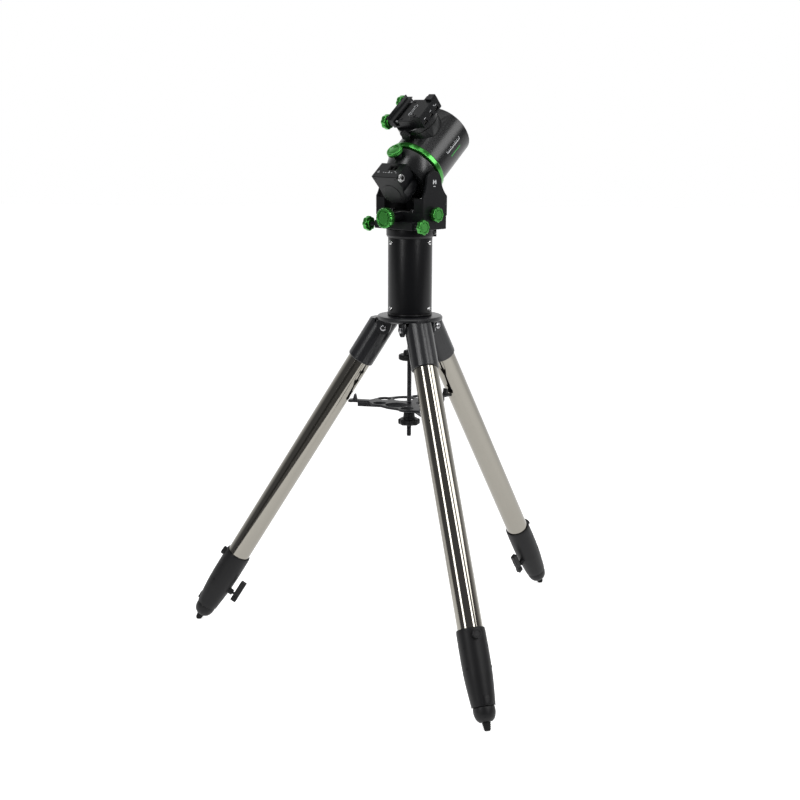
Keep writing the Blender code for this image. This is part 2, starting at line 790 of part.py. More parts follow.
# Azimuth base -------------------------------------------------------------------
def arm_profile():
    """Side view of an altitude arm as (y, z) points, from the deck up and round."""
    south_foot = (BASE_SOUTH + ARM_STEP, 0.9740)
    north_foot = (BASE_NORTH - ARM_STEP, 0.9755)
    pivot = (PIVOT_Y, PIVOT_Z)
    outline = [(south_foot[0], BASE_DECK_Z - 0.008), (north_foot[0], BASE_DECK_Z - 0.008)]
    outline.append(north_foot)
    outline += curve(north_foot, (0.0275, 0.9870), (0.0236, 1.0000), 5)
    outline += arc(pivot, ARM_HEAD_RADIUS, -4, 184, 14)
    outline += curve((-0.0243, 1.0020), (-0.0265, 0.9850), south_foot, 5)
    outline.append(south_foot)
    return outline


def curve(start, bend, end, steps):
    """Inner points of a quadratic curve, without its two ends."""
    points = []
    for k in range(1, steps):
        t = k / steps
        weights = ((1 - t) ** 2, 2 * t * (1 - t), t * t)
        points.append(
            tuple(
                weights[0] * a + weights[1] * b + weights[2] * c
                for a, b, c in zip(start, bend, end)
            )
        )
    return points


def azimuth_base(root):
    """Yoke: a deck block with a nose for the azimuth screws and two altitude arms."""
    corner = 0.004
    outline = [
        (-BASE_HALF_WIDTH, BASE_SOUTH + corner),
        (-BASE_HALF_WIDTH + corner, BASE_SOUTH),
        (-NOSE_HALF_WIDTH, BASE_SOUTH),
        (NOSE_HALF_WIDTH, BASE_SOUTH),
        (BASE_HALF_WIDTH - corner, BASE_SOUTH),
        (BASE_HALF_WIDTH, BASE_SOUTH + corner),
        (BASE_HALF_WIDTH, BASE_NORTH - corner),
        (BASE_HALF_WIDTH - corner, BASE_NORTH),
        (-BASE_HALF_WIDTH + corner, BASE_NORTH),
        (-BASE_HALF_WIDTH, BASE_NORTH - corner),
    ]
    base = piece(
        "azimuth_base", prism(outline, BASE_Z, BASE_DECK_Z, bevel=0.0008), "satin_black", root
    )
    nose = prism(
        [
            (-NOSE_HALF_WIDTH, BASE_SOUTH + 0.010),
            (-NOSE_HALF_WIDTH, NOSE_SOUTH + corner),
            (-NOSE_HALF_WIDTH + corner, NOSE_SOUTH),
            (NOSE_HALF_WIDTH - corner, NOSE_SOUTH),
            (NOSE_HALF_WIDTH, NOSE_SOUTH + corner),
            (NOSE_HALF_WIDTH, BASE_SOUTH + 0.010),
        ],
        BASE_Z + ARM_STEP,
        NOSE_TOP_Z,
        bevel=0.0010,
    )
    join(base, tool("base_nose", nose, root))
    for name, side in SIDES.items():
        arm = tool(f"arm_{name}", x_prism(arm_profile(), ARM_INNER, arm_outer(), side), root)
        shoulder_outline = [
            (BASE_SOUTH + ARM_STEP, BASE_DECK_Z - 0.006),
            (BASE_NORTH - 0.012, BASE_DECK_Z - 0.006),
            (BASE_NORTH - 0.012, SHOULDER_Z - 0.006),
            (BASE_NORTH - 0.016, SHOULDER_Z),
            (-0.0120, SHOULDER_Z),
            (-0.0190, 0.9640),
            (-0.0225, 0.9715),
            (BASE_SOUTH + ARM_STEP, 0.9715),
        ]
        block = x_prism(shoulder_outline, SHOULDER_INNER, ARM_INNER + 0.003, side)
        join(base, arm, tool(f"shoulder_{name}", block, root))
        near, far = sorted((side * REAR_WALL_INNER, side * (SHOULDER_INNER + 0.001)))
        wall = box((near, REAR_WALL_Y[0], BASE_DECK_Z - 0.003), (far, REAR_WALL_Y[1], REAR_WALL_TOP))
        join(base, tool(f"rear_wall_{name}", wall, root))
        pin_bore = x_disc(PIVOT_PIN_RADIUS + GAP, ARM_INNER - 0.003, ARM_INNER + 0.0040, side)
        cut(base, tool(f"arm_bore_{name}", pin_bore, root, (0, PIVOT_Y, PIVOT_Z)))
    lock_hole = x_disc(0.0036, SHOULDER_INNER - 0.010, BASE_HALF_WIDTH + 0.010, 1)
    cut(base, tool("lock_hole", lock_hole, root, (0, LOCK_Y, LOCK_Z)))
    # Pocket over the adapter's peg, and the screw holes that meet in it.
    pocket = box((-0.0150, -0.0505, BASE_Z - 0.002), (0.0150, -0.0415, AZIMUTH_SCREW_Z + 0.0060))
    cut(base, tool("peg_pocket", pocket, root))
    across = x_disc(0.0040 + GAP, -0.070, 0.070, 1)
    spot = (0, AZIMUTH_SCREW_Y, AZIMUTH_SCREW_Z)
    cut(base, tool("azimuth_screw_bore", across, root, spot))
    # The altitude screw runs in a pressed nut and meets the housing's lever in a slot.
    slot = box(
        (-0.0120, LEVER_SLOT_SOUTH, 0.9245), (0.0120, BASE_NORTH + 0.002, BASE_DECK_Z + 0.002)
    )
    cut(base, tool("altitude_lever_slot", slot, root))
    channel = turned(
        [
            (0, BASE_SOUTH - 0.002),
            (0.0088 + GAP, BASE_SOUTH - 0.002),
            (0.0088 + GAP, BASE_SOUTH + 0.0104),
            (0.0050 + GAP, BASE_SOUTH + 0.0104),
            (0.0050 + GAP, LEVER_SLOT_SOUTH + 0.004),
            (0, LEVER_SLOT_SOUTH + 0.004),
        ],
        SMALL_SEGMENTS,
        "Y",
    )
    cut(base, tool("altitude_screw_bore", channel, root, (0, 0, ALTITUDE_SCREW_Z)))


def arm_outer():
    return BASE_HALF_WIDTH - ARM_STEP


def x_prism(outline, near, far, side, bevel=0.0010):
    """A prism between two distances along X, on the side given as 1 or -1."""
    return prism(outline, min(side * near, side * far), max(side * near, side * far), "X",
                 bevel=bevel)


def x_disc(radius, near, far, side, segments=SMALL_SEGMENTS):
    """A cylinder along X between two distances, on the side given as 1 or -1."""
    return disc(radius, min(side * near, side * far), max(side * near, side * far), 0.0,
                segments, "X")


def base_controls(yaw):
    """Azimuth screws, altitude screw with its nut, and the altitude lock."""
    for name, side in SIDES.items():
        solid = knob(0.0157, 0.0136, 0.0040, 0.0560, "X", lobes=8)
        if side < 0:
            half_turn(solid)
        spot = (side * AZIMUTH_KNOB_X, AZIMUTH_SCREW_Y, AZIMUTH_SCREW_Z)
        piece(f"azimuth_knob_{name}", solid, "green_anodised", yaw, spot)
    lock = knob(0.0157, 0.0130, 0.0033, 0.0150, "X", lobes=8)
    spot = (BASE_HALF_WIDTH + 0.0008, LOCK_Y, LOCK_Z)
    piece("altitude_lock_knob", lock, "green_anodised", yaw, spot)
    solid = knob(0.0215, 0.0180, 0.0050, 0.0530, "Y", lobes=12, depth=0.0014)
    half_turn(solid)
    spot = (0, ALTITUDE_KNOB_Y, ALTITUDE_SCREW_Z)
    piece("altitude_knob", solid, "green_anodised", yaw, spot)
    nut = sleeve(0.0088, 0.0050 + GAP, 0.0004, 0.0100, 0.0, SMALL_SEGMENTS, "Y")
    piece("altitude_nut", nut, "bearing_steel", yaw, (0, BASE_SOUTH, ALTITUDE_SCREW_Z))


def half_turn(solid):
    """Turn a solid to face the other way along its axis in the XY plane."""
    bmesh.ops.rotate(solid, matrix=Matrix.Rotation(math.pi, 3, "Z"), verts=solid.verts)


# Right-ascension unit -------------------------------------------------------------
def ra_fixed(altitude, polar):
    """Lower housing between the arms: a cup open to the north, with a lever below."""
    housing = piece(
        "ra_housing",
        turned(
            [
                (0.0160, RA_SOUTH),
                (RA_SOUTH_RADIUS - 0.0015, RA_SOUTH),
                (RA_SOUTH_RADIUS, RA_SOUTH + 0.0015),
                (CYLINDER_RADIUS, RA_SEAM - 0.0030),
                (CYLINDER_RADIUS, RA_SEAM - 0.0008),
                (CYLINDER_RADIUS - 0.0008, RA_SEAM),
                (SPLINE_SEAT, RA_SEAM),
                (SPLINE_SEAT, RA_SOUTH + HOUSING_WALL),
                (0.0160, RA_SOUTH + HOUSING_WALL),
            ],
            axis="Y",
        ),
        "satin_black",
        polar,
    )
    brake_boss = disc(0.0095, 0.0480, CYLINDER_RADIUS - 0.0008, 0.0, SMALL_SEGMENTS)
    join(housing, tool("ra_brake_boss", brake_boss, polar, (0, RA_BRAKE_A, 0)))
    screw_bore = disc(0.0040 + GAP, 0.0540, 0.0700, 0.0, SMALL_SEGMENTS)
    cut(housing, tool("ra_brake_bore", screw_bore, polar, (0, RA_BRAKE_A, 0)))
    # The altitude screw pushes this lever.
    lever = box((-0.0100, 0.0120 - PIVOT_Y, -0.0740), (0.0100, 0.0195 - PIVOT_Y, -0.0290))
    join(housing, tool("altitude_lever", lever, altitude))
    for name, side in SIDES.items():
        boss = x_disc(PIVOT_BOSS_RADIUS, 0.0440, CYLINDER_RADIUS, side)
        join(housing, tool(f"pivot_boss_{name}", boss, polar, (0, PIVOT_A, PIVOT_B)))
        bore = x_disc(PIVOT_PIN_RADIUS + GAP, 0.0500, 0.0620, side)
        cut(housing, tool(f"pin_bore_{name}", bore, polar, (0, PIVOT_A, PIVOT_B)))
        pin = x_disc(PIVOT_PIN_RADIUS, 0.0500 + GAP, ARM_INNER + 0.0040 - GAP, side)
        piece(f"altitude_pin_{name}", pin, "bearing_steel", polar, (0, PIVOT_A, PIVOT_B))


def block_outline(inset):
    """Section of the electronics housing as (b, c) points, drawn in by an inset."""
    low, high = BLOCK_BOTTOM + inset, BLOCK_TOP - inset
    east = [(min(high, max(low, b)), c - inset) for b, c in BLOCK_EAST]
    west = [(min(high, max(low, b)), c + inset) for b, c in reversed(BLOCK_WEST)]
    return east + west


def ra_electronics(polar):
    """Faceted housing on the south end: shell, round cover, sockets and boards."""
    shell = piece(
        "ra_electronics_case",
        prism(block_outline(0.0), BLOCK_SOUTH, RA_SOUTH - GAP, "Y", bevel=0.0010),
        "satin_black",
        polar,
    )
    inside = prism(block_outline(0.0040), BLOCK_SOUTH + 0.004, 0.010, "Y")
    cut(shell, tool("case_inside", inside, polar))
    cover_seat = disc(COVER_RADIUS, BLOCK_SOUTH - 0.002, BLOCK_SOUTH + 0.0022, 0, SEGMENTS, "Y")
    cover_spot = (0, 0, COVER_B)
    cut(shell, tool("cover_seat", cover_seat, polar, cover_spot))
    port_window = box(
        (PORT_C - PORT_HALF[0], PORT_A - PORT_HALF[1], BLOCK_TOP - 0.008),
        (PORT_C + PORT_HALF[0], PORT_A + PORT_HALF[1], BLOCK_TOP + 0.002),
    )
    cut(shell, tool("port_window", port_window, polar))
    socket_bore = disc(PLUG_RADIUS + GAP, -0.010, 0.010, 0, SMALL_SEGMENTS, "X")
    cut(shell, tool("connector_bore", socket_bore, polar, PLUG_SPOT))
    piece(
        "ra_end_cover",
        disc(COVER_RADIUS - GAP, BLOCK_SOUTH - 0.0008, BLOCK_SOUTH + 0.0018, 0.0004, SEGMENTS, "Y"),
        "satin_black",
        polar,
        cover_spot,
    )
    margin = 0.0004
    port = box(
        (PORT_C - PORT_HALF[0] + margin, PORT_A - PORT_HALF[1] + margin, BLOCK_TOP - 0.0100),
        (PORT_C + PORT_HALF[0] - margin, PORT_A + PORT_HALF[1] - margin, BLOCK_TOP - 0.0006),
    )
    socket_block = piece("port_block", port, "plastic_black", polar)
    for k in (-1, 1):
        middle = PORT_C + 0.0055 * k
        hole = box(
            (middle - 0.0045, PORT_A - 0.0045, BLOCK_TOP - 0.007),
            (middle + 0.0045, PORT_A + 0.0045, BLOCK_TOP + 0.002),
        )
        cut(socket_block, tool(f"port_hole_{k}", hole, polar))
    barrel = sleeve(PLUG_RADIUS, 0.0042, -0.0060, 0.0030, 0.0006, SMALL_SEGMENTS, "X")
    piece("power_connector", barrel, "zinc", polar, PLUG_SPOT)
    board = box((-0.0215, BLOCK_SOUTH + 0.0080, -0.0100), (0.0215, BLOCK_SOUTH + 0.0096, 0.0300))
    piece("ra_control_board", board, "plastic_black", polar)


def ra_drive(polar, turning):
    """Strain-wave set: motor and toothed ring stay, wave generator and flange turn."""
    piece(
        "ra_motor",
        disc(MOTOR_RADIUS, RA_SOUTH - 0.0180, RA_SEAM - 0.0134, 0.0010, SMALL_SEGMENTS, "Y"),
        "motor_black",
        polar,
    )
    piece(
        "ra_circular_spline",
        sleeve(SPLINE_SEAT - GAP, 0.0300, RA_SEAM - 0.0140, RA_SEAM - 0.0010, 0.0005, SEGMENTS, "Y"),
        "bearing_steel",
        polar,
    )
    wave = disc(0.0230, RA_SEAM - 0.0130, RA_SEAM - 0.0030, 0.0, SMALL_SEGMENTS, "Y")
    piece("ra_wave_generator", wave, "bearing_steel", polar)
    flexspline = turned(
        [
            (0.0260, RA_SEAM - 0.0130),
            (0.0290, RA_SEAM - 0.0130),
            (0.0290, RA_SEAM + 0.0040),
            (0.0360, RA_SEAM + 0.0060),
            (0.0360, RA_SEAM + 0.0090),
            (0.0260, RA_SEAM + 0.0090),
        ],
        SEGMENTS,
        "Y",
    )
    piece("ra_flexspline", flexspline, "bearing_steel", turning)


def ra_turning(turning):
    """Green index ring and the turning housing, open to the south, with the neck."""
    ring = turned(
        [
            (0.0480, RING_BOTTOM),
            (RING_RADIUS - 0.0020, RING_BOTTOM),
            (RING_RADIUS, RING_BOTTOM + 0.0025),
            (RING_RADIUS, RING_TOP - 0.0030),
            (RING_RADIUS - 0.0025, RING_TOP - GAP),
            (0.0480, RING_TOP - GAP),
        ],
        SEGMENTS,
        "Y",
    )
    piece("ra_ring", ring, "green_anodised", turning)
    outer = turned(
        [
            (0.0400, RING_TOP),
            (CYLINDER_RADIUS - 0.0008, RING_TOP),
            (CYLINDER_RADIUS, RING_TOP + 0.0008),
            (CYLINDER_RADIUS, RA_NORTH - 0.0030),
            (CYLINDER_RADIUS - 0.0030, RA_NORTH),
            (0, RA_NORTH),
            (0, RA_NORTH - HOUSING_WALL),
            (CYLINDER_RADIUS - HOUSING_WALL, RA_NORTH - HOUSING_WALL),
            (CYLINDER_RADIUS - HOUSING_WALL, RING_TOP + 0.0080),
            (0.0400, RING_TOP + 0.0080),
        ],
        SEGMENTS,
        "Y",
    )
    housing = piece("ra_turning_housing", outer, "satin_black", turning)
    neck = disc(DEC_NECK_RADIUS, 0.0450, DEC_NECK_TOP, 0.0, SEGMENTS, "Z")
    join(housing, tool("dec_neck", neck, turning, (0, DEC_AXIS_A, 0)))
    bore = disc(NECK_BORE, 0.0300, DEC_NECK_TOP + 0.002, 0.0, SEGMENTS, "Z")
    cut(housing, tool("dec_neck_bore", bore, turning, (0, DEC_AXIS_A, 0)))


# Declination unit and saddle --------------------------------------------------------
def dec_drive(dec_axis):
    """Second strain-wave set, standing in the neck of the turning housing."""
    top = DEC_NECK_TOP
    motor = disc(MOTOR_RADIUS, -0.0150, 0.0380, 0.0010, SMALL_SEGMENTS)
    piece("dec_motor", motor, "motor_black", dec_axis)
    piece(
        "dec_circular_spline",
        sleeve(NECK_BORE - GAP, 0.0270, top - 0.0200, top - 0.0040, 0.0005),
        "bearing_steel",
        dec_axis,
    )
    piece(
        "dec_wave_generator",
        disc(0.0205, top - 0.0190, top - 0.0060, 0.0, SMALL_SEGMENTS),
        "bearing_steel",
        dec_axis,
    )
    cup = turned(
        [
            (0.0230, top - 0.0190),
            (0.0262, top - 0.0190),
            (0.0262, top + 0.0004),
            (DEC_NECK_RADIUS - 0.0012, top + 0.0004),
            (DEC_NECK_RADIUS, top + 0.0016),
            (DEC_NECK_RADIUS, DEC_FLANGE_TOP - 0.0012),
            (DEC_NECK_RADIUS - 0.0012, DEC_FLANGE_TOP),
            (0.0230, DEC_FLANGE_TOP),
        ]
    )
    flange = piece("dec_flange", cup, "satin_black", dec_axis)
    bore = disc(0.0030 + GAP, -0.0060, 0.0060, 0.0, SMALL_SEGMENTS, "Y")
    spot = (DEC_BRAKE_C, -DEC_NECK_RADIUS, DEC_BRAKE_B)
    cut(flange, tool("dec_brake_bore", bore, dec_axis, spot))


def saddle(dec_turning):
    """Dual-width dovetail saddle: floor, fixed east jaw with ports, sliding west jaw."""
    bottom = DEC_FLANGE_TOP + GAP
    section = [
        (bottom, SADDLE_EAST - 0.0020),
        (bottom + 0.0020, SADDLE_EAST),
        (FIXED_JAW_TOP - 0.0015, SADDLE_EAST),
        (FIXED_JAW_TOP, SADDLE_EAST - 0.0015),
        (FIXED_JAW_TOP, FIXED_JAW_WEST - 0.0015),
        (FIXED_JAW_TOP - 0.0012, FIXED_JAW_WEST - 0.0025),
        (SADDLE_FLOOR, FIXED_JAW_WEST + 0.0020),
        (SADDLE_FLOOR, FLOOR_WEST),
        (bottom + SADDLE_PLATE, FLOOR_WEST),
        (bottom + SADDLE_PLATE, SADDLE_WEST),
        (bottom, SADDLE_WEST),
    ]
    length = SADDLE_HALF_LENGTH
    body = piece(
        "saddle",
        prism(section, -length, length, "Y", bevel=0.0008),
        "satin_black",
        dec_turning,
    )
    lug = box((0.0330, length - 0.0170, FIXED_JAW_TOP - 0.002),
              (SADDLE_EAST - 0.0010, length - 0.0006, FIXED_JAW_TOP + 0.0048))
    join(body, tool("saddle_lug", lug, dec_turning))
    # Relief at the foot of the fixed jaw, so that a bar lies flat on the floor.
    relief = box((FIXED_JAW_WEST - 0.0028, -length - 0.002, SADDLE_FLOOR - 0.0010),
                 (FIXED_JAW_WEST + 0.0026, length + 0.002, SADDLE_FLOOR + 0.0003))
    cut(body, tool("saddle_relief", relief, dec_turning))
    for k, (centre, width) in enumerate(SADDLE_PORTS):
        port = box((SADDLE_EAST - 0.0080, centre - width / 2, bottom + 0.0050),
                   (SADDLE_EAST + 0.0100, centre + width / 2, bottom + 0.0105))
        cut(body, tool(f"saddle_port_{k}", port, dec_turning))
    for k in (-1, 1):
        bore = disc(0.0034, FLOOR_WEST - 0.001, FLOOR_WEST + 0.0220, 0, 16, "X")
        spot = (0, k * SADDLE_KNOB_SPACING / 2, SADDLE_SCREW_B)
        cut(body, tool(f"saddle_screw_bore_{k}", bore, dec_turning, spot))


def moving_jaw(jaw_slide):
    """Sliding jaw: a dovetail bar with a raised west lip and two screw bores."""
    low = DEC_FLANGE_TOP + SADDLE_PLATE + 2 * GAP
    section = [
        (low, JAW_EAST - 0.0010),
        (low + 0.0140, JAW_EAST - 0.0050),
        (0.1030, JAW_EAST),
        (0.1042, JAW_EAST - 0.0012),
        (0.1042, -0.0340),
        (0.1095, -0.0348),
        (0.1095, -0.0372),
        (0.1085, -0.0385),
        (low + 0.0040, -0.0385),
        (low, -0.0345),
    ]
    bar = piece(
        "moving_jaw",
        prism(section, -JAW_HALF_LENGTH, JAW_HALF_LENGTH, "Y", bevel=0.0006),
        "satin_black",
        jaw_slide,
    )
    for k in (-1, 1):
        bore = disc(0.0036, -0.060, 0.000, 0, 16, "X")
        spot = (0, k * SADDLE_KNOB_SPACING / 2, SADDLE_SCREW_B)
        cut(bar, tool(f"jaw_bore_{k}", bore, jaw_slide, spot))


def saddle_knobs(dec_turning):
    for name, side in (("south", -1), ("north", 1)):
        solid = knob(0.0157, 0.0150, 0.0030, 0.0380, "X")
        half_turn(solid)
        spot = (-0.0405, side * SADDLE_KNOB_SPACING / 2, SADDLE_SCREW_B)
        piece(f"saddle_knob_{name}", solid, "green_anodised", dec_turning, spot)


def small_controls(polar, dec_turning):
    """Green brake knob on the lower housing and the black one on the Dec flange."""
    solid = knob(0.0172, 0.0120, 0.0040, 0.0070, "Z", lobes=9)
    piece("ra_brake_knob", solid, "green_anodised", polar, (0, RA_BRAKE_A, 0.0615))
    lobed = knob(0.0125, 0.0085, 0.0030, 0.0050, "Y", lobes=5, depth=0.0030)
    half_turn(lobed)
    spot = (DEC_BRAKE_C, -DEC_NECK_RADIUS - 0.0015, DEC_BRAKE_B)
    piece("dec_brake_knob", lobed, "plastic_black", dec_turning, spot)


def head(yaw):
    altitude = empty("altitude_axis", (0, PIVOT_Y, PIVOT_Z), parent=yaw)
    polar = empty("polar_axis", (0, -PIVOT_Y, HEAD_Z - PIVOT_Z), (LATITUDE, 0, 0), altitude)
    turning = empty("ra_turning_axis", (0, 0, 0), parent=polar)
    dec_axis = empty("dec_axis", (0, DEC_AXIS_A, 0), parent=turning)
    ra_fixed(altitude, polar)
    ra_electronics(polar)
    ra_drive(polar, turning)
    ra_turning(turning)
    dec_drive(dec_axis)
    saddle(dec_axis)
    moving_jaw(dec_axis)
    saddle_knobs(dec_axis)
    small_controls(polar, dec_axis)


def main():
    clear_scene()
    root = empty("pier_axis", (0, PIER_Y, 0))
    hub(root)
    for name, azimuth in LEG_AZIMUTHS.items():
        leg(name, azimuth, root)
    spreader(root)
    pier(root)
    azimuth_base(root)
    base_controls(root)
    head(root)


main()
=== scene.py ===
"""Looks of an equatorial telescope mount on a pier extension and a steel tripod.

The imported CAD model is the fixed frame. This script gives every node its finish,
rounds the machined edges, rebuilds knobs and tubes with more detail, and adds
screws, sockets and printed marks. Lengths are metres in the row frame.
"""
import json
import math

import bmesh
import bpy
from mathutils import Matrix, Vector


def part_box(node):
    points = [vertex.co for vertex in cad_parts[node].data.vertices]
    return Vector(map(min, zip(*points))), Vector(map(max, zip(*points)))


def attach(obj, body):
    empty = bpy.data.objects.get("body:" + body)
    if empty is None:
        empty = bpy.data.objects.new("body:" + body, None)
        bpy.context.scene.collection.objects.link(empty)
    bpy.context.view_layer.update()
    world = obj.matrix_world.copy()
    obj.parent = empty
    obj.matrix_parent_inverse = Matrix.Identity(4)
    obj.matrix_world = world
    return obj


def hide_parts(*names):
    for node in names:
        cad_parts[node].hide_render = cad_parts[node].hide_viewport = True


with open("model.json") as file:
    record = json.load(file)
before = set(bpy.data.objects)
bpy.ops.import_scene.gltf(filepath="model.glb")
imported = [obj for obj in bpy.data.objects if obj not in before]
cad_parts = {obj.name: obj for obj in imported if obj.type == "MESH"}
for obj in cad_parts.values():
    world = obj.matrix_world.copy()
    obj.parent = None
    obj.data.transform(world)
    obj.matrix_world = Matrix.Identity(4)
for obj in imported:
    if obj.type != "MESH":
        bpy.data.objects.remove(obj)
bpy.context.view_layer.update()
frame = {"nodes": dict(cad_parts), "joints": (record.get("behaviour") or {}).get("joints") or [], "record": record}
JOINTS = {joint["name"]: joint for joint in frame["joints"]}

# Frames -----------------------------------------------------------------------
RA_JOINT_A = 0.0295               # the RA joint's place along the polar axis
CLAMP_HEIGHT = 0.104              # heights along a leg are from its foot tip
LEGS = ("north", "southwest", "southeast")
DEC_A = 0.0850                    # Dec axis along the polar axis


def joint_axis(name):
    return Vector(JOINTS[name]["axis"]).normalized()


def joint_place(name):
    return Vector(JOINTS[name]["pos_m"])


def frame_matrix(origin, along_x, along_y, along_z):
    """A matrix whose columns are three axes and an origin."""
    turn = Matrix((along_x, along_y, along_z)).transposed().to_4x4()
    return Matrix.Translation(origin) @ turn


def facing(place, direction):
    """A frame at place whose Z is the given direction."""
    return Matrix.Translation(place) @ Vector(direction).to_track_quat("Z", "Y").to_matrix().to_4x4()


def leg_frame(name):
    """Z up the leg, Y outwards, X along the hinge, origin at the foot tip."""
    up = -joint_axis(f"leg_extend_{name}")
    hinge = joint_axis(f"leg_fold_{name}")
    origin = joint_place(f"clamp_turn_{name}") - CLAMP_HEIGHT * up
    return frame_matrix(origin, hinge, up.cross(hinge), up)


PIER_SPOT = joint_place("azimuth_turn")
PIER = Matrix.Translation((PIER_SPOT.x, PIER_SPOT.y, 0))
POLAR_Y = joint_axis("ra_turn")
POLAR_Z = joint_axis("dec_turn")
POLAR = frame_matrix(
    joint_place("ra_turn") - RA_JOINT_A * POLAR_Y, POLAR_Y.cross(POLAR_Z), POLAR_Y, POLAR_Z
)
POLAR_TURNED = POLAR @ Matrix(((0, 1, 0, 0), (0, 0, 1, 0), (1, 0, 0, 0), (0, 0, 0, 1)))
LEG_FRAMES = {name: leg_frame(name) for name in LEGS}


# Materials --------------------------------------------------------------------
def new_node(tree, kind, **values):
    node = tree.nodes.new(kind)
    for name, value in values.items():
        setattr(node, name, value)
    return node


def surface(
    name,
    colour,
    roughness,
    metallic=0.0,
    grain=900.0,
    bump=0.10,
    bump_depth=0.0001,
    spread=0.06,
    mottle=0.12,
    mottle_size=30.0,
    local=None,
    stretch=(1.0, 1.0, 1.0),
    coat=0.0,
    specular=0.5,
):
    """A Principled finish with fine grain in its bump and roughness, and mottled colour.

    local is the frame that the pattern lies in, and stretch scales it along that
    frame's axes, so that brushed lines can run along or round a piece.
    """
    made = bpy.data.materials.new(name)
    made.use_nodes = True
    tree = made.node_tree
    shader = tree.nodes["Principled BSDF"]
    shader.inputs["Metallic"].default_value = metallic
    shader.inputs["Coat Weight"].default_value = coat
    shader.inputs["Coat Roughness"].default_value = 0.15
    shader.inputs["Specular IOR Level"].default_value = specular
    place = new_node(tree, "ShaderNodeTexCoord")
    turned_in = new_node(tree, "ShaderNodeMapping", vector_type="TEXTURE")
    if local is not None:
        turned_in.inputs["Location"].default_value = local.to_translation()
        turned_in.inputs["Rotation"].default_value = local.to_euler()
    scaled = new_node(tree, "ShaderNodeMapping")
    scaled.inputs["Scale"].default_value = stretch
    fine = new_node(tree, "ShaderNodeTexNoise")
    fine.inputs["Scale"].default_value = grain
    fine.inputs["Detail"].default_value = 4.0
    broad = new_node(tree, "ShaderNodeTexNoise")
    broad.inputs["Scale"].default_value = mottle_size
    broad.inputs["Detail"].default_value = 3.0
    rough = new_node(tree, "ShaderNodeMapRange")
    rough.inputs["To Min"].default_value = max(0.02, roughness - spread)
    rough.inputs["To Max"].default_value = min(1.0, roughness + spread)
    tint = new_node(tree, "ShaderNodeMix", data_type="RGBA")
    tint.inputs["A"].default_value = tuple(part * (1 - mottle) for part in colour) + (1,)
    tint.inputs["B"].default_value = tuple(min(1, part * (1 + mottle)) for part in colour) + (1,)
    relief = new_node(tree, "ShaderNodeBump")
    relief.inputs["Strength"].default_value = bump
    relief.inputs["Distance"].default_value = bump_depth
    link = tree.links.new
    link(place.outputs["Object"], turned_in.inputs["Vector"])
    link(turned_in.outputs["Vector"], scaled.inputs["Vector"])
    link(scaled.outputs["Vector"], fine.inputs["Vector"])
    link(turned_in.outputs["Vector"], broad.inputs["Vector"])
    link(fine.outputs["Fac"], rough.inputs["Value"])
    link(rough.outputs["Result"], shader.inputs["Roughness"])
    link(broad.outputs["Fac"], tint.inputs["Factor"])
    link(tint.outputs["Result"], shader.inputs["Base Color"])
    link(fine.outputs["Fac"], relief.inputs["Height"])
    link(relief.outputs["Normal"], shader.inputs["Normal"])
    return made


ALONG = (40.0, 40.0, 0.35)        # brushed lines along a frame's Z

ANODISED = surface(
    "anodised_black", (0.0045, 0.0048, 0.0056), 0.34, 0.08, grain=1800, specular=0.21
)
DRUM = surface(
    "anodised_drum", (0.0060, 0.0063, 0.0068), 0.27, 0.10, grain=260, bump=0.05,
    specular=0.48, local=POLAR_TURNED, stretch=(0.5, 0.5, 12.0),
)
PIER_PAINT = surface(
    "pier_black", (0.0045, 0.0046, 0.0054), 0.33, 0.05, grain=1500, bump=0.12, specular=0.22
)
POWDER = surface(
    "powder_black", (0.0085, 0.0089, 0.0104), 0.30, 0.05, grain=700, bump=0.20, spread=0.08,
    specular=0.50,
)
PLASTIC = surface(
    "moulded_black", (0.0060, 0.0060, 0.0066), 0.45, grain=1200, bump=0.25, spread=0.08,
    specular=0.20,
)
RUBBER = surface("rubber_black", (0.007, 0.007, 0.007), 0.78, grain=600, bump=0.35, specular=0.2)
GREY_CAST = surface(
    "tray_grey", (0.0120, 0.0125, 0.0145), 0.42, 0.05, grain=650, bump=0.25, spread=0.08,
    specular=0.30,
)
GREEN = surface(
    "green_anodised", (0.050, 0.300, 0.045), 0.20, 0.85, grain=700, bump=0.02, mottle=0.04,
    coat=0.25,
)
ZINC = surface("bright_zinc", (0.50, 0.50, 0.50), 0.22, 1.0, grain=500, bump=0.08, mottle=0.06)
STEEL = surface("ground_steel", (0.36, 0.36, 0.37), 0.25, 1.0, grain=600, bump=0.08)
# Dark steel for the centre rod's thread: painted shade, darker than the ground steel so the rod matches the dark
# gap it sits in.
SHADED_ROD_STEEL = surface("rod_steel_painted_shade", (0.10, 0.10, 0.105), 0.30, 1.0, grain=600, bump=0.08)
BLACK_OXIDE = surface("black_oxide", (0.010, 0.010, 0.011), 0.20, 0.40, grain=900, bump=0.05)
CONTACT = surface("plated_contact", (0.26, 0.25, 0.23), 0.30, 1.0, grain=900, bump=0.04)
# Near black for the black plastic of socket inserts; where it covers holes and recesses it is painted shade
# standing in for their depth.
HOLE_SHADE_AND_INSERT_BLACK = surface("socket_black_and_hole_shade", (0.004, 0.004, 0.004), 0.55, grain=1500, specular=0.2)
WHITE_INK = surface("white_print", (0.55, 0.56, 0.57), 0.50, grain=2400, mottle=0.05)
GREEN_INK = surface("green_print", (0.03, 0.24, 0.045), 0.50, grain=2400, mottle=0.05)
BOARD = surface("circuit_green", (0.010, 0.07, 0.025), 0.40, grain=900, bump=0.20)
TUBES = {
    name: surface(
        f"stainless_{name}", (0.265, 0.252, 0.222), 0.085, 1.0, grain=42, bump=0.04,
        bump_depth=0.00005, spread=0.03, mottle=0.04, mottle_size=6.0,
        local=LEG_FRAMES[name], stretch=ALONG,
    )
    for name in LEGS
}


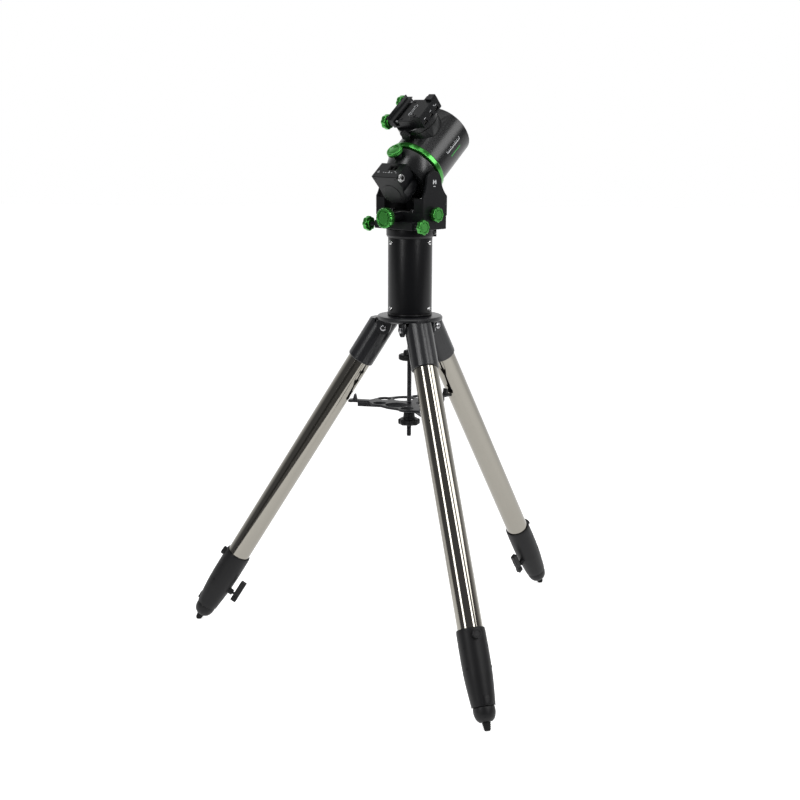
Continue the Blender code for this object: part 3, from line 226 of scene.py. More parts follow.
# Mesh tools ---------------------------------------------------------------------
def make(name, solid, look, matrix, body, replaced=(), smooth_angle=32):
    """Turn a bmesh in a local frame into a piece in the row frame that rides a body."""
    bmesh.ops.transform(solid, matrix=matrix, verts=solid.verts)
    bmesh.ops.recalc_face_normals(solid, faces=solid.faces)
    mesh = bpy.data.meshes.new(name)
    solid.to_mesh(mesh)
    solid.free()
    mesh.shade_smooth()
    mesh.set_sharp_from_angle(angle=math.radians(smooth_angle))
    mesh.materials.append(look)
    piece = bpy.data.objects.new(name, mesh)
    bpy.context.scene.collection.objects.link(piece)
    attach(piece, body)
    if replaced:
        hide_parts(*replaced)
    return piece


def circle(radius, height, count):
    turns = [math.tau * k / count for k in range(count)]
    return [(radius * math.cos(t), radius * math.sin(t), height) for t in turns]


def skin(solid, rows, closed=False):
    """Skin rows of points; a row of one point closes an end, closed joins last to first."""
    made = [[solid.verts.new(point) for point in row] for row in rows]
    pairs = list(zip(made, made[1:]))
    if closed:
        pairs.append((made[-1], made[0]))
    for low, high in pairs:
        count = max(len(low), len(high))
        for k in range(count):
            here = [low[k % len(low)], low[(k + 1) % len(low)]]
            there = [high[(k + 1) % len(high)], high[k % len(high)]]
            solid.faces.new(list(dict.fromkeys(here + there)))
    return solid


def turned(profile, count=96):
    """A solid of revolution about Z from (radius, height) points."""
    rows = [circle(r, h, count) if r > 0 else [(0, 0, h)] for r, h in profile]
    return skin(bmesh.new(), rows, closed=profile[0][0] > 0)


def rounded(points, size, steps=3):
    """Round the inner corners of an open (radius, height) profile."""
    made = [points[0]]
    for before, corner, after in zip(points, points[1:], points[2:]):
        here = Vector(corner)
        into = Vector(before) - here
        out = Vector(after) - here
        reach = min(size, into.length * 0.45, out.length * 0.45)
        start = here + into.normalized() * reach
        end = here + out.normalized() * reach
        for k in range(steps + 1):
            t = k / steps
            spot = start * (1 - t) ** 2 + here * 2 * t * (1 - t) + end * t * t
            made.append((max(0.0, spot.x), spot.y))
    made.append(points[-1])
    return made


def merge(target, source, matrix=None):
    """Copy one bmesh into another, placed by a matrix, and free the source."""
    if matrix is not None:
        bmesh.ops.transform(source, matrix=matrix, verts=source.verts)
    mesh = bpy.data.meshes.new("merge")
    source.to_mesh(mesh)
    source.free()
    target.from_mesh(mesh)
    bpy.data.meshes.remove(mesh)
    return target


def block(low, high, edge=0.0):
    """A box between two corners, with rounded edges."""
    solid = bmesh.new()
    bmesh.ops.create_cube(solid, size=1.0)
    middle = (Vector(low) + Vector(high)) / 2
    sides = Vector(high) - Vector(low)
    for vertex in solid.verts:
        vertex.co = middle + Vector(a * b for a, b in zip(vertex.co, sides))
    if edge:
        bmesh.ops.bevel(
            solid, geom=solid.edges, offset=edge, segments=2, affect="EDGES", profile=0.5
        )
    return solid


def soften(node, look, width=0.0006, angle=28):
    """A copy of a CAD node with its machined edges rounded, which stands for the node."""
    body = next(b for b, names in frame["record"]["behaviour"]["bodies"].items() if node in names)
    solid = bmesh.new()
    solid.from_mesh(frame["nodes"][node].data)
    bmesh.ops.remove_doubles(solid, verts=solid.verts, dist=2e-6)
    bmesh.ops.dissolve_limit(
        solid, angle_limit=math.radians(0.6), verts=solid.verts, edges=solid.edges
    )
    piece = make(f"{node}_shape", solid, look, Matrix.Identity(4), body, (node,), 30)
    edge = piece.modifiers.new("edge", "BEVEL")
    edge.width = width
    edge.segments = 2
    edge.limit_method = "ANGLE"
    edge.angle_limit = math.radians(angle)
    edge.harden_normals = True
    return piece


# Screws, knobs and marks -----------------------------------------------------------
def cap_screw(radius, height, key):
    """A cap screw's head on Z, with a hexagon recess of the given half width."""
    count = 24
    hexagon = []
    for k in range(count):
        turn = math.tau * k / count
        reach = key / math.cos((turn % (math.pi / 3)) - math.pi / 6)
        hexagon.append((reach * math.cos(turn), reach * math.sin(turn)))
    rows = [
        [(0, 0, -0.0006)],
        circle(radius, -0.0006, count),
        circle(radius, height * 0.78, count),
        circle(radius * 0.95, height * 0.92, count),
        circle(radius * 0.86, height, count),
        [(u, v, height) for u, v in hexagon],
        [(u, v, height * 0.35) for u, v in hexagon],
        [(0, 0, height * 0.30)],
    ]
    return skin(bmesh.new(), rows)


def button_screw(radius, height, key):
    """A domed screw head on Z with a hexagon recess."""
    solid = cap_screw(radius, height, key)
    for vertex in solid.verts:
        reach = math.hypot(vertex.co.x, vertex.co.y) / radius
        if vertex.co.z > height * 0.5:
            vertex.co.z -= height * 0.55 * reach * reach
    return solid


def screws(name, spots, head, look, matrix, body):
    """One piece holding a screw head at each (place, direction) in the local frame."""
    solid = bmesh.new()
    for place, direction in spots:
        merge(solid, head(), facing(place, direction))
    return make(name, solid, look, matrix, body, smooth_angle=40)


def grip_outline(radius, lobes, depth, sharp, points):
    """A grip outline; sharp above 1 narrows the hollows between the lobes."""
    outline = []
    count = lobes * points
    for k in range(count):
        turn = math.tau * k / count
        hollow = (0.5 * (1 - math.cos(lobes * turn))) ** sharp
        reach = radius - depth * hollow
        outline.append((reach * math.cos(turn), reach * math.sin(turn)))
    return outline


def grip(radius, height, lobes, depth, sharp=1.6, points=10, dish=0.0018):
    """A scalloped knob head: rounded grip, raised rim, dished face and a centre disc."""
    outline = grip_outline(radius, lobes, depth, sharp, points)
    count = len(outline)
    inner = (radius - depth) * 0.90

    def scaled(share, level):
        return [(u * share, v * share, level) for u, v in outline]

    rows = [
        [(0, 0, 0)],
        circle(radius * 0.60, 0, count),
        circle(radius * 0.62, height * 0.20, count),
        scaled(0.90, height * 0.22),
        scaled(0.97, height * 0.27),
        scaled(1.00, height * 0.36),
        scaled(1.00, height * 0.80),
        scaled(0.985, height * 0.89),
        scaled(0.95, height * 0.96),
        scaled(0.91, height),
        circle(inner, height, count),
        circle(inner * 0.83, height, count),
        circle(inner * 0.81, height - dish * 0.3, count),
        circle(inner * 0.80, height - dish, count),
        circle(inner * 0.74, height - dish, count),
        circle(inner * 0.73, height - dish * 0.3, count),
        circle(inner * 0.70, height - dish * 0.1, count),
        [(0, 0, height - dish * 0.1)],
    ]
    return skin(bmesh.new(), rows)


def thread(radius, length, pitch=0.00125, count=20):
    """A threaded rod from the origin along -Z."""
    rows = [[(0, 0, 0)], circle(radius, 0, count)]
    level = 0.0
    while level > -length + pitch:
        rows.append(circle(radius - pitch * 0.45, level - pitch * 0.5, count))
        rows.append(circle(radius, level - pitch, count))
        level -= pitch
    rows.append(circle(radius * 0.8, -length, count))
    rows.append([(0, 0, -length)])
    return skin(bmesh.new(), rows)


def knob(node, body, place, direction, radius, height, lobes, depth, screw=None, **shape):
    """A knob that stands for its CAD node, with its screw as a second piece."""
    matrix = facing(place, direction)
    look = shape.pop("look", GREEN)
    slot = shape.pop("slot", "green_anodised")
    thread_look = shape.pop("thread_look", STEEL)
    solid = grip(radius, height, lobes, depth, **shape)
    made = make(f"{node}_head", solid, look, matrix, body, (node,), 38)
    if screw:
        make(f"{node}_screw", thread(*screw), thread_look, matrix, body)
    return made


def marks(name, boxes, look, matrix, body):
    """Printed marks: thin rounded plates given as low and high corners."""
    solid = bmesh.new()
    for low, high in boxes:
        merge(solid, block(low, high))
    return make(name, solid, look, matrix, body, smooth_angle=20)


def drum_mark(solid, radius, angles, span, lift=0.00012, steps=4):
    """A printed bar on a cylinder about the polar axis, between two angles from +Z."""
    rows = []
    for k in range(steps + 1):
        turn = math.radians(angles[0] + (angles[1] - angles[0]) * k / steps)
        row = []
        for a, reach in (
            (span[0], radius - 0.0002),
            (span[1], radius - 0.0002),
            (span[1], radius + lift),
            (span[0], radius + lift),
        ):
            row.append(solid.verts.new((reach * math.sin(turn), a, reach * math.cos(turn))))
        rows.append(row)
    for near, far in zip(rows, rows[1:]):
        for k in range(4):
            solid.faces.new((near[k], near[(k + 1) % 4], far[(k + 1) % 4], far[k]))
    solid.faces.new(rows[0])
    solid.faces.new(rows[-1])


# Tripod ---------------------------------------------------------------------------
BOOT_PROFILE = (
    (0.0226, 0.0460), (0.0234, 0.0460), (0.0250, 0.0620), (0.0268, 0.0820), (0.0284, 0.1050),
    (0.0291, 0.1350), (0.0291, 0.1650), (0.0288, 0.1900), (0.0280, 0.1950), (0.0258, 0.1950),
)
FOOT_PROFILE = (
    (0.0, 0.0172), (0.0100, 0.0172), (0.0130, 0.0176), (0.0178, 0.0225), (0.0206, 0.0290),
    (0.0218, 0.0360), (0.0218, 0.0420), (0.0212, 0.0455), (0.0, 0.0455),
)
SOCKET_SEAT = 0.7985
BOOT_LEDGE = 0.115
TUBE_RADIUS = 0.0254
INNER_RADIUS = 0.0222
BOSS_HEIGHT = 0.180


def leg(name):
    local = LEG_FRAMES[name]
    upper, lower = f"leg_{name}", f"extension_{name}"
    profile = [(TUBE_RADIUS - 0.0015, BOOT_LEDGE + 0.001), (TUBE_RADIUS, BOOT_LEDGE + 0.001)]
    profile += [(TUBE_RADIUS, SOCKET_SEAT - 0.001), (TUBE_RADIUS - 0.0015, SOCKET_SEAT - 0.001)]
    make(f"tube_{name}", turned(profile, 128), TUBES[name], local, upper,
         (f"leg_tube_{name}",))
    profile = [(INNER_RADIUS - 0.0015, 0.0460), (INNER_RADIUS, 0.0460)]
    profile += [(INNER_RADIUS, 0.6995), (INNER_RADIUS - 0.0015, 0.6995)]
    make(f"inner_tube_{name}", turned(profile, 96), TUBES[name], local, lower,
         (f"leg_extension_{name}",))
    soften(f"leg_socket_{name}", POWDER, 0.0012)
    boot(name, local, upper)
    foot(name, local, lower)
    soften(f"clamp_handle_{name}", PLASTIC, 0.0008)
    soften(f"hinge_bolt_{name}", STEEL, 0.0004)
    bolt(name, upper)


def bolt(name, body):
    """Flat dark hexagons on both ends of the hinge bolt: painted shade that stands in for the hexagon recesses."""
    low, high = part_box(f"hinge_bolt_{name}")
    middle = (low + high) / 2
    hinge = joint_axis(f"leg_fold_{name}")
    reach = bolt_reach(name, middle, hinge)
    solid = bmesh.new()
    for side in (1, -1):
        rows = [[(0, 0, -0.0004)], circle(0.0026, -0.0004, 6), circle(0.0026, 0.0002, 6),
                [(0, 0, 0.0002)]]
        merge(solid, skin(bmesh.new(), rows), facing(middle + side * hinge * reach, side * hinge))
    make(f"bolt_recess_shade_{name}", solid, HOLE_SHADE_AND_INSERT_BLACK, Matrix.Identity(4), body)


def bolt_reach(name, middle, hinge):
    """How far the bolt's ends stand from its middle along the hinge."""
    mesh = frame["nodes"][f"hinge_bolt_{name}"].data
    return max(abs((vertex.co - middle).dot(hinge)) for vertex in mesh.vertices)


def boot(name, local, body):
    """Moulded clamp: shell, lock boss, screw boss, pin holes and a moulded clip."""
    solid = turned(rounded(BOOT_PROFILE, 0.004), 96)
    lock_boss = [(0, 0.024), (0.0095, 0.024), (0.0095, 0.0355), (0.0070, 0.0355),
                 (0.0064, 0.0345), (0, 0.0345)]
    merge(solid, turned(rounded(lock_boss, 0.0009), 40), facing((0, 0, BOSS_HEIGHT), (0, 1, 0)))
    screw_boss = [(0.0034, 0.0245), (0.0095, 0.0245), (0.0068, 0.0300), (0.0068, 0.0365),
                  (0.0034, 0.0365)]
    merge(solid, turned(rounded(screw_boss, 0.0008), 40), facing((0, 0, CLAMP_HEIGHT), (0, -1, 0)))
    merge(solid, block((-0.0050, 0.0215, 0.0475), (0.0050, 0.0262, 0.0640), 0.0010))
    make(f"boot_{name}", solid, PLASTIC, local, body, (f"leg_boot_{name}",), 40)
    # The pin holes are shallow dark heads on the shell: painted shade stands in for the holes' depth.
    pins = []
    for turn, height in ((-62, 0.158), (-62, 0.118), (62, 0.158), (62, 0.118)):
        out = Vector((math.sin(math.radians(turn)), math.cos(math.radians(turn)), 0))
        pins.append((out * 0.0288 + Vector((0, 0, height)), out))
    screws(f"boot_pin_hole_shade_{name}", pins, lambda: cap_screw(0.0021, 0.0006, 0.0012), HOLE_SHADE_AND_INSERT_BLACK,
           local, body)


def foot(name, local, body):
    """Round cap on the inner tube, and the ribbed rubber tip that stands on the ground."""
    make(f"foot_cap_{name}", turned(rounded(FOOT_PROFILE, 0.002), 64), PLASTIC, local, body,
         (f"leg_foot_{name}",))
    ribs = [(0, 0.0004), (0.0046, 0.0004), (0.0058, 0.0016)]
    for k in range(4):
        level = 0.0032 + 0.0034 * k
        radius = 0.0060 + 0.0005 * k
        crest = radius + 0.0009
        ribs += [(radius, level), (crest, level + 0.0010), (crest, level + 0.0020)]
    ribs += [(0.0076, 0.0180), (0, 0.0180)]
    tip = turned(ribs, 40)
    bmesh.ops.transform(tip, matrix=local, verts=tip.verts)
    ground = [v for v in tip.verts if v.co.z < 0.0]
    for vertex in ground:
        vertex.co.z = 0.0
    make(f"foot_tip_{name}", tip, RUBBER, Matrix.Identity(4), body)


def spreader():
    """Threaded rod, both knobs, the tray, and a nut under the hub plate."""
    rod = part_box("centre_rod")
    length = rod[1].z - rod[0].z
    top = Matrix.Translation((PIER_SPOT.x, PIER_SPOT.y, rod[1].z))
    make("centre_rod_thread", thread(0.0050, length, 0.0015, 28), SHADED_ROD_STEEL, top, "tripod",
         ("centre_rod",))
    soften("spreader_tray", GREY_CAST, 0.0009)
    place = joint_place("tray_knob_turn")
    solid = grip(0.0235, 0.0150, 8, 0.0028, 1.5, 12)
    bmesh.ops.translate(solid, verts=solid.verts, vec=(0, 0, -0.0070))
    neck = rounded([(0, -0.0182), (0.0115, -0.0182), (0.0128, -0.0060), (0, -0.0060)], 0.001)
    merge(solid, turned(neck, 48))
    make("tray_knob_grip", solid, PLASTIC, facing(place, (0, 0, -1)), "tray_knob",
         ("tray_knob",), 38)
    place = joint_place("rod_knob_turn")
    profile = [(0.0054, -0.0100), (0.0200, -0.0100), (0.0232, -0.0080), (0.0232, 0.0005),
               (0.0215, 0.0020), (0.0135, 0.0025), (0.0125, 0.0095), (0.0105, 0.0110),
               (0.0054, 0.0110)]
    make("rod_knob_grip", turned(rounded(profile, 0.0015), 64), PLASTIC, facing(place, (0, 0, 1)),
         "rod_knob", ("rod_knob",))
    nut_profile = [(0.0052, 0.0), (0.0088, 0.0), (0.0088, 0.0075), (0.0052, 0.0075)]
    nut = turned(rounded(nut_profile, 0.0006), 6)
    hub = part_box("hub_plate")
    make("hub_nut", nut, ZINC, Matrix.Translation((PIER_SPOT.x, PIER_SPOT.y, hub[0].z - 0.0078)),
         "tripod", smooth_angle=20)


# Pier -------------------------------------------------------------------------------
SCREW_AZIMUTHS = (12, 132, 252)


def pier():
    """Hub plate, tube, end rings and the three screws at each end of the tube."""
    soften("hub_plate", POWDER, 0.0012)
    low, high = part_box("pier_tube")
    radius = (high.x - low.x) / 2
    inner = radius - 0.003
    profile = rounded([(inner, low.z), (radius, low.z), (radius, high.z), (inner, high.z)], 0.0008)
    make("pier_tube_shell", turned(profile, 128), PIER_PAINT, PIER, "tripod",
         ("pier_tube",))
    for node in ("pier_foot_plug", "pier_head_plug", "pier_adapter"):
        soften(node, PIER_PAINT, 0.0005)
    spots = []
    for height in (low.z + 0.0095, high.z - 0.0085):
        for azimuth in SCREW_AZIMUTHS:
            turn = math.radians(azimuth)
            out = Vector((math.cos(turn), math.sin(turn), 0))
            spots.append((out * (radius + 0.0001) + Vector((0, 0, height)), out))
    screws("pier_screws", spots, lambda: button_screw(0.0050, 0.0030, 0.0021), ZINC, PIER,
           "tripod")
    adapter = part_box("pier_adapter")
    turn = math.radians(42)
    out = Vector((math.cos(turn), math.sin(turn), 0))
    side = Vector((-math.sin(turn), math.cos(turn), 0))
    spot = out * 0.0505 - side * 0.0062 + Vector((0, 0, adapter[0].z + 0.0100))
    screws("adapter_screw", [(spot, -side)], lambda: cap_screw(0.0040, 0.0042, 0.0020), ZINC,
           PIER, "tripod")


# Azimuth base -----------------------------------------------------------------------
def azimuth_base():
    """Yoke with its arms, the adjusting knobs, bolts, and index marks."""
    soften("azimuth_base", ANODISED, 0.0008)
    soften("altitude_nut", STEEL, 0.0003)
    for side, turn in (("east", 1), ("west", -1)):
        knob(f"azimuth_knob_{side}", f"azimuth_knob_{side}", joint_place(f"azimuth_screw_{side}"),
             (turn, 0, 0), 0.0157, 0.0136, 8, 0.0015, (0.0040, 0.0560), thread_look=BLACK_OXIDE)
    knob("altitude_lock_knob", "altitude_lock", joint_place("altitude_lock_turn"), (1, 0, 0),
         0.0157, 0.0130, 8, 0.0015, (0.0033, 0.0150), thread_look=BLACK_OXIDE)
    knob("altitude_knob", "altitude_knob", joint_place("altitude_screw"), (0, -1, 0),
         0.0215, 0.0180, 20, 0.0008, (0.0050, 0.0530, 0.0015), sharp=1.0, points=8, dish=0.0024)
    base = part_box("azimuth_base")
    bush = joint_place("altitude_screw") + Vector((0, 0.0012, 0))
    reach = 0.0290
    profile = rounded(
        [(0.0056, 0), (0.0092, 0), (0.0105, reach * 0.5), (0.0120, reach), (0.0056, reach)], 0.0008
    )
    make("altitude_screw_bush", turned(profile, 48), ANODISED, facing(bush, (0, 1, 0)), "azimuth")
    # Black plates close the view under the housing, either side of the lever's swing: a dark sheet of painted
    # shade, put where the underside lies in deep shade.
    plates = bmesh.new()
    for side in (1, -1):
        near, far = sorted((side * 0.0300, side * 0.0603))
        merge(plates, block((near, 0.0337, 0.9425), (far, 0.0378, 0.9730), 0.0003))
    make("shade_plate", plates, PIER_PAINT, PIER, "azimuth")
    deck = 0.943
    spots = [((turn * 0.0315, -0.0245, deck), (0, 0, 1)) for turn in (1, -1)]
    screws("deck_bolts", spots, lambda: cap_screw(0.0068, 0.0060, 0.0035), BLACK_OXIDE, PIER,
           "azimuth")
    arm = base[1].x
    spots = [((turn * (arm - 0.0003), y, z), (turn, 0, 0))
             for turn in (1, -1) for y, z in ((-0.0275, 0.9290), (0.0330, 0.9290), (0.0330, 0.9600))]
    screws("base_screws", spots, lambda: cap_screw(0.0026, 0.0007, 0.0013), BLACK_OXIDE, PIER,
           "azimuth")
    for turn in (1, -1):
        near, far = sorted((turn * (arm - 0.0008), turn * (arm - 0.0001)))
        boxes = [
            ((near, -0.0052, 1.0010), (far, -0.0024, 1.0095)),
            ((near, 0.0020, 1.0010), (far, 0.0048, 1.0095)),
            ((near, -0.0024, 1.0042), (far, 0.0020, 1.0062)),
            ((near, -0.0035, 0.9955), (far, 0.0031, 0.9970)),
        ]
        marks(f"arm_index_{'east' if turn > 0 else 'west'}", boxes, WHITE_INK, PIER, "azimuth")


# Right-ascension unit ------------------------------------------------------------------
DRUM_RADIUS = 0.060
RING_RADIUS = 0.0645
RING = (0.0164, 0.0291)
NORTH_END = 0.1426


def ra_unit():
    """Lower housing, green ring, turning drum with its neck, and the south case."""
    soften("ra_housing", DRUM, 0.0006)
    profile = rounded(
        [(0.0480, RING[0]), (RING_RADIUS - 0.0004, RING[0]), (RING_RADIUS, RING[0] + 0.0008),
         (RING_RADIUS, RING[1] - 0.0034), (RING_RADIUS - 0.0022, RING[1]), (0.0480, RING[1])], 0.0005)
    make("ra_ring_band", turned(profile, 160), GREEN, POLAR_TURNED, "ra_turning",
         ("ra_ring",))
    soften("ra_turning_housing", DRUM, 0.0010)
    face = NORTH_END + 0.0006
    rim = NORTH_END + 0.0012
    cap = rounded(
        [(0, NORTH_END - 0.001), (0.0440, NORTH_END - 0.001), (0.0440, rim), (0.0425, rim),
         (0.0420, face), (0, face)], 0.0004
    )
    make("drum_end_cover", turned(cap, 96), ANODISED, POLAR_TURNED, "ra_turning")
    spots = []
    for k in range(6):
        turn = math.tau * k / 6
        spots.append(((0.0520 * math.sin(turn), NORTH_END, 0.0520 * math.cos(turn)), (0, 1, 0)))
    screws("drum_end_screws", spots, lambda: cap_screw(0.0026, 0.0011, 0.0013), BLACK_OXIDE, POLAR,
           "ra_turning")
    knob("ra_brake_knob", "ra_brake", joint_place("ra_brake_turn"), POLAR_Z, 0.0172, 0.0120, 36,
         0.0004, (0.0040, 0.0070), sharp=1.0, points=6, dish=0.0010)
    drum_marks()
    south_case()
    for node, look in (("altitude_pin_east", STEEL), ("altitude_pin_west", STEEL),
                       ("ra_circular_spline", STEEL), ("ra_wave_generator", STEEL),
                       ("ra_flexspline", STEEL), ("ra_motor", ANODISED), ("ra_control_board", BOARD)):
        repaint(node, look)


def repaint(node, look):
    """Give a CAD node a finish without touching its shape."""
    mesh = frame["nodes"][node].data
    mesh.materials.clear()
    mesh.materials.append(look)


def drum_marks():
    """A plain graduated rule in white and a green line, on both sides of the drum."""
    white = bmesh.new()
    green = bmesh.new()
    for side in (1, -1):
        drum_mark(white, DRUM_RADIUS, (side * 87.5, side * 88.6), (0.064, 0.112), steps=2)
        for k in range(13):
            spot = 0.064 + 0.004 * k
            tall = 5.4 if k % 4 == 0 else 3.0
            span = (spot - 0.0005, spot + 0.0005)
            drum_mark(white, DRUM_RADIUS, (side * (87.5 - tall), side * 87.5), span)
        drum_mark(green, DRUM_RADIUS, (side * 98.5, side * 101.5), (0.070, 0.106))
    make("drum_rule_white", white, WHITE_INK, POLAR, "ra_turning", smooth_angle=20)
    make("drum_rule_green", green, GREEN_INK, POLAR, "ra_turning", smooth_angle=20)


CASE_SOUTH = -0.0650
CASE_TOP = 0.0506
PORT_A, PORT_C = -0.0370, 0.0080
PLUG_PLACE = (0.0352, -0.0560, 0.0420)


def south_case():
    """Electronics case: shell, end cover, socket block, round connector and legends."""
    soften("ra_electronics_case", ANODISED, 0.0009)
    soften("ra_end_cover", ANODISED, 0.0005)
    soften("port_block", HOLE_SHADE_AND_INSERT_BLACK, 0.0004)
    pins = []
    for k in (-1, 1):
        middle = PORT_C + 0.0055 * k
        for j in range(4):
            c = middle - 0.0024 + 0.0016 * j
            pins.append(((c - 0.0003, PORT_A - 0.0030, CASE_TOP - 0.0068),
                         (c + 0.0003, PORT_A + 0.0030, CASE_TOP - 0.0050)))
    marks("port_contacts", pins, CONTACT, POLAR, "ra_fixed")
    flange = turned(rounded(
        [(0.0044, -0.0030), (0.0060, -0.0030), (0.0060, 0.0002), (0.0084, 0.0002),
         (0.0084, 0.0024), (0.0066, 0.0026), (0.0066, 0.0058), (0.0044, 0.0058)], 0.0005), 40)
    matrix = POLAR @ facing(PLUG_PLACE, (1, 0, 0))
    make("power_socket_ring", flange, ZINC, matrix, "ra_fixed", ("power_connector",), 30)
    core = [(0, -0.0040), (0.0044, -0.0040), (0.0044, 0.0020), (0.0034, 0.0020),
            (0.0034, 0.0006), (0, 0.0006)]
    make("power_socket_core", turned(core, 32), HOLE_SHADE_AND_INSERT_BLACK, matrix, "ra_fixed",
         smooth_angle=30)
    solid = bmesh.new()
    for k in range(3):
        turn = math.tau * k / 3
        pin = turned(rounded([(0, 0), (0.0006, 0), (0.0006, 0.0045), (0, 0.0045)], 0.0003), 12)
        spot = Vector((0.0019 * math.cos(turn), 0.0019 * math.sin(turn), 0.0004))
        merge(solid, pin, Matrix.Translation(spot))
    make("power_socket_pins", solid, CONTACT, matrix, "ra_fixed")
    ink = CASE_TOP - 0.0002
    lift = CASE_TOP + 0.00012
    boxes = []
    for c, width in ((-0.0250, 0.0060), (-0.0100, 0.0036), (-0.0040, 0.0020), (0.0040, 0.0060),
                     (0.0120, 0.0036), (0.0240, 0.0030)):
        boxes.append(((c - width / 2, -0.0512, ink), (c + width / 2, -0.0500, lift)))
    for c in (-0.0250, 0.0040, 0.0200):
        boxes.append(((c - 0.0007, -0.0490, ink), (c + 0.0007, -0.0462, lift)))
    marks("case_legends", boxes, WHITE_INK, POLAR, "ra_fixed")
    spots = [((side * 0.0270, CASE_SOUTH, b), (0, -1, 0))
             for side in (1, -1) for b in (0.0440, -0.0080)]
    screws("case_screws", spots, lambda: cap_screw(0.0020, 0.0006, 0.0010), BLACK_OXIDE, POLAR,
           "ra_fixed")


# Declination unit and saddle -------------------------------------------------------------
SADDLE_FLOOR = 0.0990
JAW_TOP = 0.1085
SADDLE_EAST = 0.0500
PORTS = ((-0.0235, 0.0110), (-0.0015, 0.0080), (0.0185, 0.0120))
PORT_B = (0.0854, 0.0909)


def dec_unit():
    """Neck flange, saddle with its ports and marks, sliding jaw and all knobs."""
    dec = POLAR @ Matrix.Translation((0, DEC_A, 0))
    soften("dec_flange", DRUM, 0.0006)
    soften("saddle", ANODISED, 0.0007)
    soften("moving_jaw", ANODISED, 0.0006)
    for name in ("south", "north"):
        knob(f"saddle_knob_{name}", f"saddle_knob_{name}", joint_place(f"saddle_screw_{name}"),
             (-1, 0, 0), 0.0157, 0.0150, 8, 0.0015, (0.0030, 0.0380, 0.0010))
    knob("dec_brake_knob", "dec_brake", joint_place("dec_brake_turn"), -POLAR_Y, 0.0125, 0.0085, 5,
         0.0030, (0.0030, 0.0050), sharp=1.1, look=PLASTIC, slot="plastic_black")
    for node, look in (("dec_motor", ANODISED), ("dec_circular_spline", STEEL),
                       ("dec_wave_generator", STEEL)):
        repaint(node, look)
    sockets = []
    contacts = []
    legends = []
    for centre, width in PORTS:
        low = (SADDLE_EAST - 0.0079, centre - width / 2 + 0.0002, PORT_B[0] + 0.0002)
        high = (SADDLE_EAST - 0.0045, centre + width / 2 - 0.0002, PORT_B[1] - 0.0002)
        sockets.append((low, high))
        for k in range(3):
            a = centre + (k - 1) * width * 0.24
            contacts.append(((SADDLE_EAST - 0.0048, a - 0.0004, PORT_B[0] + 0.0018),
                             (SADDLE_EAST - 0.0020, a + 0.0004, PORT_B[1] - 0.0018)))
        mark = centre + 0.0015
        legends.append(((SADDLE_EAST - 0.0002, mark - 0.0032, 0.0962),
                        (SADDLE_EAST + 0.00012, mark + 0.0032, 0.0971)))
    legends.append(((SADDLE_EAST - 0.0002, 0.0140, 0.0985), (SADDLE_EAST + 0.00012, 0.0150, 0.1010)))
    marks("saddle_sockets", sockets, HOLE_SHADE_AND_INSERT_BLACK, dec, "dec_turning")
    marks("saddle_contacts", contacts, CONTACT, dec, "dec_turning")
    marks("saddle_legends", legends, WHITE_INK, dec, "dec_turning")
    marks("saddle_arrow", arrow_boxes(), WHITE_INK, dec, "dec_turning")
    spots = [((c, a, SADDLE_FLOOR), (0, 0, 1)) for c in (-0.0090, 0.0170) for a in (-0.0265, 0.0265)]
    screws("saddle_floor_screws", spots, lambda: cap_screw(0.0030, 0.0009, 0.0015), BLACK_OXIDE,
           dec, "dec_turning")
    spots = [((0.0315, a, JAW_TOP), (0, 0, 1)) for a in (0.0270, -0.0270)]
    screws("jaw_stop_screws", spots, lambda: button_screw(0.0034, 0.0028, 0.0013), BLACK_OXIDE,
           dec, "dec_turning")


def arrow_boxes():
    """A plain double-ended arrow printed along the saddle floor."""
    low = SADDLE_FLOOR - 0.0002
    high = SADDLE_FLOOR + 0.00012
    centre = 0.0045
    boxes = []
    for side in (1, -1):
        offset = centre + side * 0.0022
        boxes.append(((offset - 0.0004, -0.0120, low), (offset + 0.0004, 0.0090, high)))
        for k in range(5):
            c = centre + side * 0.0011 * k
            near, far = 0.0165 - 0.0015 * k, 0.0178 - 0.0015 * k
            boxes.append(((c - 0.0006, near, low), (c + 0.0006, far, high)))
            boxes.append(((c - 0.0006, -far, low), (c + 0.0006, -near, high)))
    return boxes


# Studio ------------------------------------------------------------------------------------
CAMERA_SPOT = (1.9065, -2.1184, 1.1458)      # from the pier axis, on the ground
CAMERA_LINE = (-0.6593, 0.7225, -0.2081)
CAMERA_ROLL = math.radians(0.3)
CAMERA_LENS = 61.02
FLOOR_REACH = 14.0
APRON = 0.82                      # the dark apron starts here, in front of the picture's edge
FLOOR_GLOW = 0.70                 # keeps the floor white under soft lights


def camera():
    made = bpy.data.objects.new("camera", bpy.data.cameras.new("camera"))
    bpy.context.scene.collection.objects.link(made)
    made.data.lens = CAMERA_LENS
    made.data.sensor_width = 36.0
    made.data.clip_end = 60.0
    away = -Vector(CAMERA_LINE).normalized()
    right = Vector((0, 0, 1)).cross(away).normalized()
    turn = Matrix.Rotation(CAMERA_ROLL, 4, "Z")
    made.matrix_world = PIER @ frame_matrix(CAMERA_SPOT, right, away.cross(right), away) @ turn
    bpy.context.scene.camera = made


def softbox(name, bearing, height, distance, size, power, aim=0.75):
    """A rectangular area light at a bearing from the camera's line, aimed at the object."""
    view = Vector((CAMERA_LINE[0], CAMERA_LINE[1], 0)).normalized()
    spot = Matrix.Rotation(math.radians(bearing), 3, "Z") @ (-view * distance)
    spot.z = height
    data = bpy.data.lights.new(name, "AREA")
    data.shape = "RECTANGLE"
    data.size, data.size_y = size
    data.energy = power
    made = bpy.data.objects.new(name, data)
    bpy.context.scene.collection.objects.link(made)
    target = Vector((0, 0, aim))
    made.matrix_world = PIER @ facing(spot, spot - target)


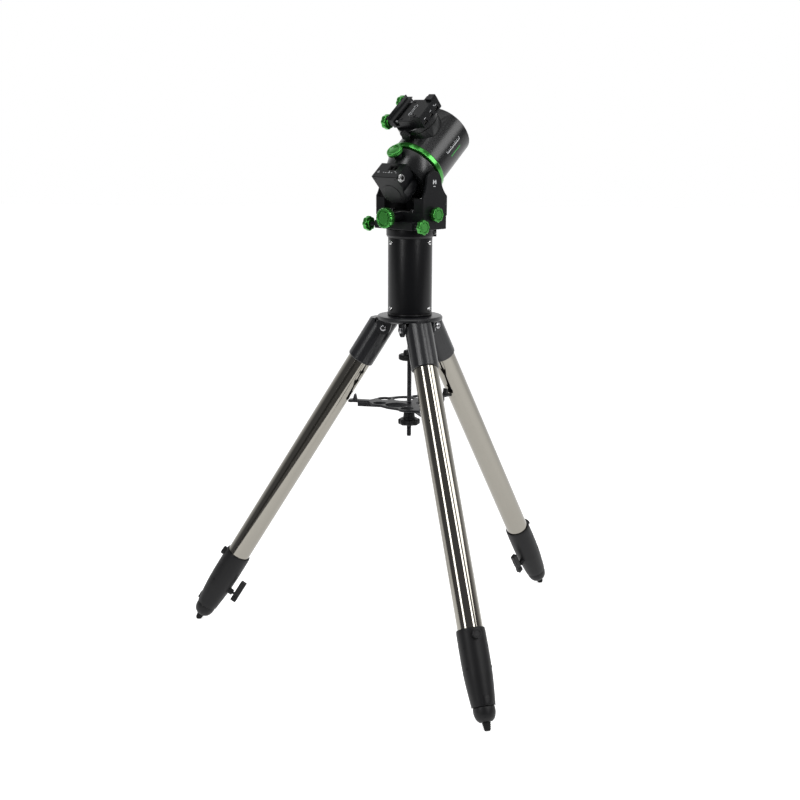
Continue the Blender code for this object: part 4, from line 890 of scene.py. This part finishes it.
def ground(name, near, far, shade, glow):
    """A strip of floor between two distances from the pier towards the camera."""
    toward = -Vector((CAMERA_LINE[0], CAMERA_LINE[1], 0)).normalized()
    across = Vector((-toward.y, toward.x, 0)) * FLOOR_REACH
    corners = (near * toward - across, far * toward - across, far * toward + across,
               near * toward + across)
    mesh = bpy.data.meshes.new(name)
    mesh.from_pydata([PIER @ corner for corner in corners], [], [(0, 1, 2, 3)])
    paint = surface(f"{name}_paint", (shade, shade, shade), 0.80, grain=3.0, bump=0.0, mottle=0.01)
    inputs = paint.node_tree.nodes["Principled BSDF"].inputs
    inputs["Emission Color"].default_value = (1, 1, 1, 1)
    inputs["Emission Strength"].default_value = glow
    mesh.materials.append(paint)
    made = bpy.data.objects.new(name, mesh)
    bpy.context.scene.collection.objects.link(made)


def studio():
    """White floor with a dark apron, a world that is white behind the object, softboxes."""
    ground("floor", -FLOOR_REACH, APRON, 0.80, FLOOR_GLOW)
    ground("apron", APRON, FLOOR_REACH, 0.10, 0.0)
    world = bpy.data.worlds.new("studio")
    bpy.context.scene.world = world
    world.use_nodes = True
    tree = world.node_tree
    back = tree.nodes["Background"]
    place = new_node(tree, "ShaderNodeTexCoord")
    dot = new_node(tree, "ShaderNodeVectorMath", operation="DOT_PRODUCT")
    dot.inputs[1].default_value = Vector((CAMERA_LINE[0], CAMERA_LINE[1], 0)).normalized()
    ramp = new_node(tree, "ShaderNodeValToRGB")
    ramp.color_ramp.elements[0].position = 0.0
    ramp.color_ramp.elements[0].color = (0.150, 0.150, 0.155, 1)
    ramp.color_ramp.elements[1].position = 0.75
    ramp.color_ramp.elements[1].color = (1, 1, 1, 1)
    tree.links.new(place.outputs["Generated"], dot.inputs[0])
    tree.links.new(dot.outputs["Value"], ramp.inputs["Fac"])
    tree.links.new(ramp.outputs["Color"], back.inputs["Color"])
    back.inputs["Strength"].default_value = 1.0
    softbox("softbox_left", -42, 1.9, 2.4, (0.50, 2.6), 34)
    softbox("softbox_right", 38, 2.2, 2.6, (0.55, 2.6), 38)
    softbox("softbox_side", 72, 2.3, 2.6, (1.2, 1.3), 24, 1.1)
    softbox("softbox_top", 0, 3.2, 0.6, (1.8, 1.8), 14)
    bpy.context.scene.view_settings.view_transform = "Standard"


camera()
studio()
for leg_name in LEGS:
    leg(leg_name)
spreader()
pier()
azimuth_base()
ra_unit()
dec_unit()
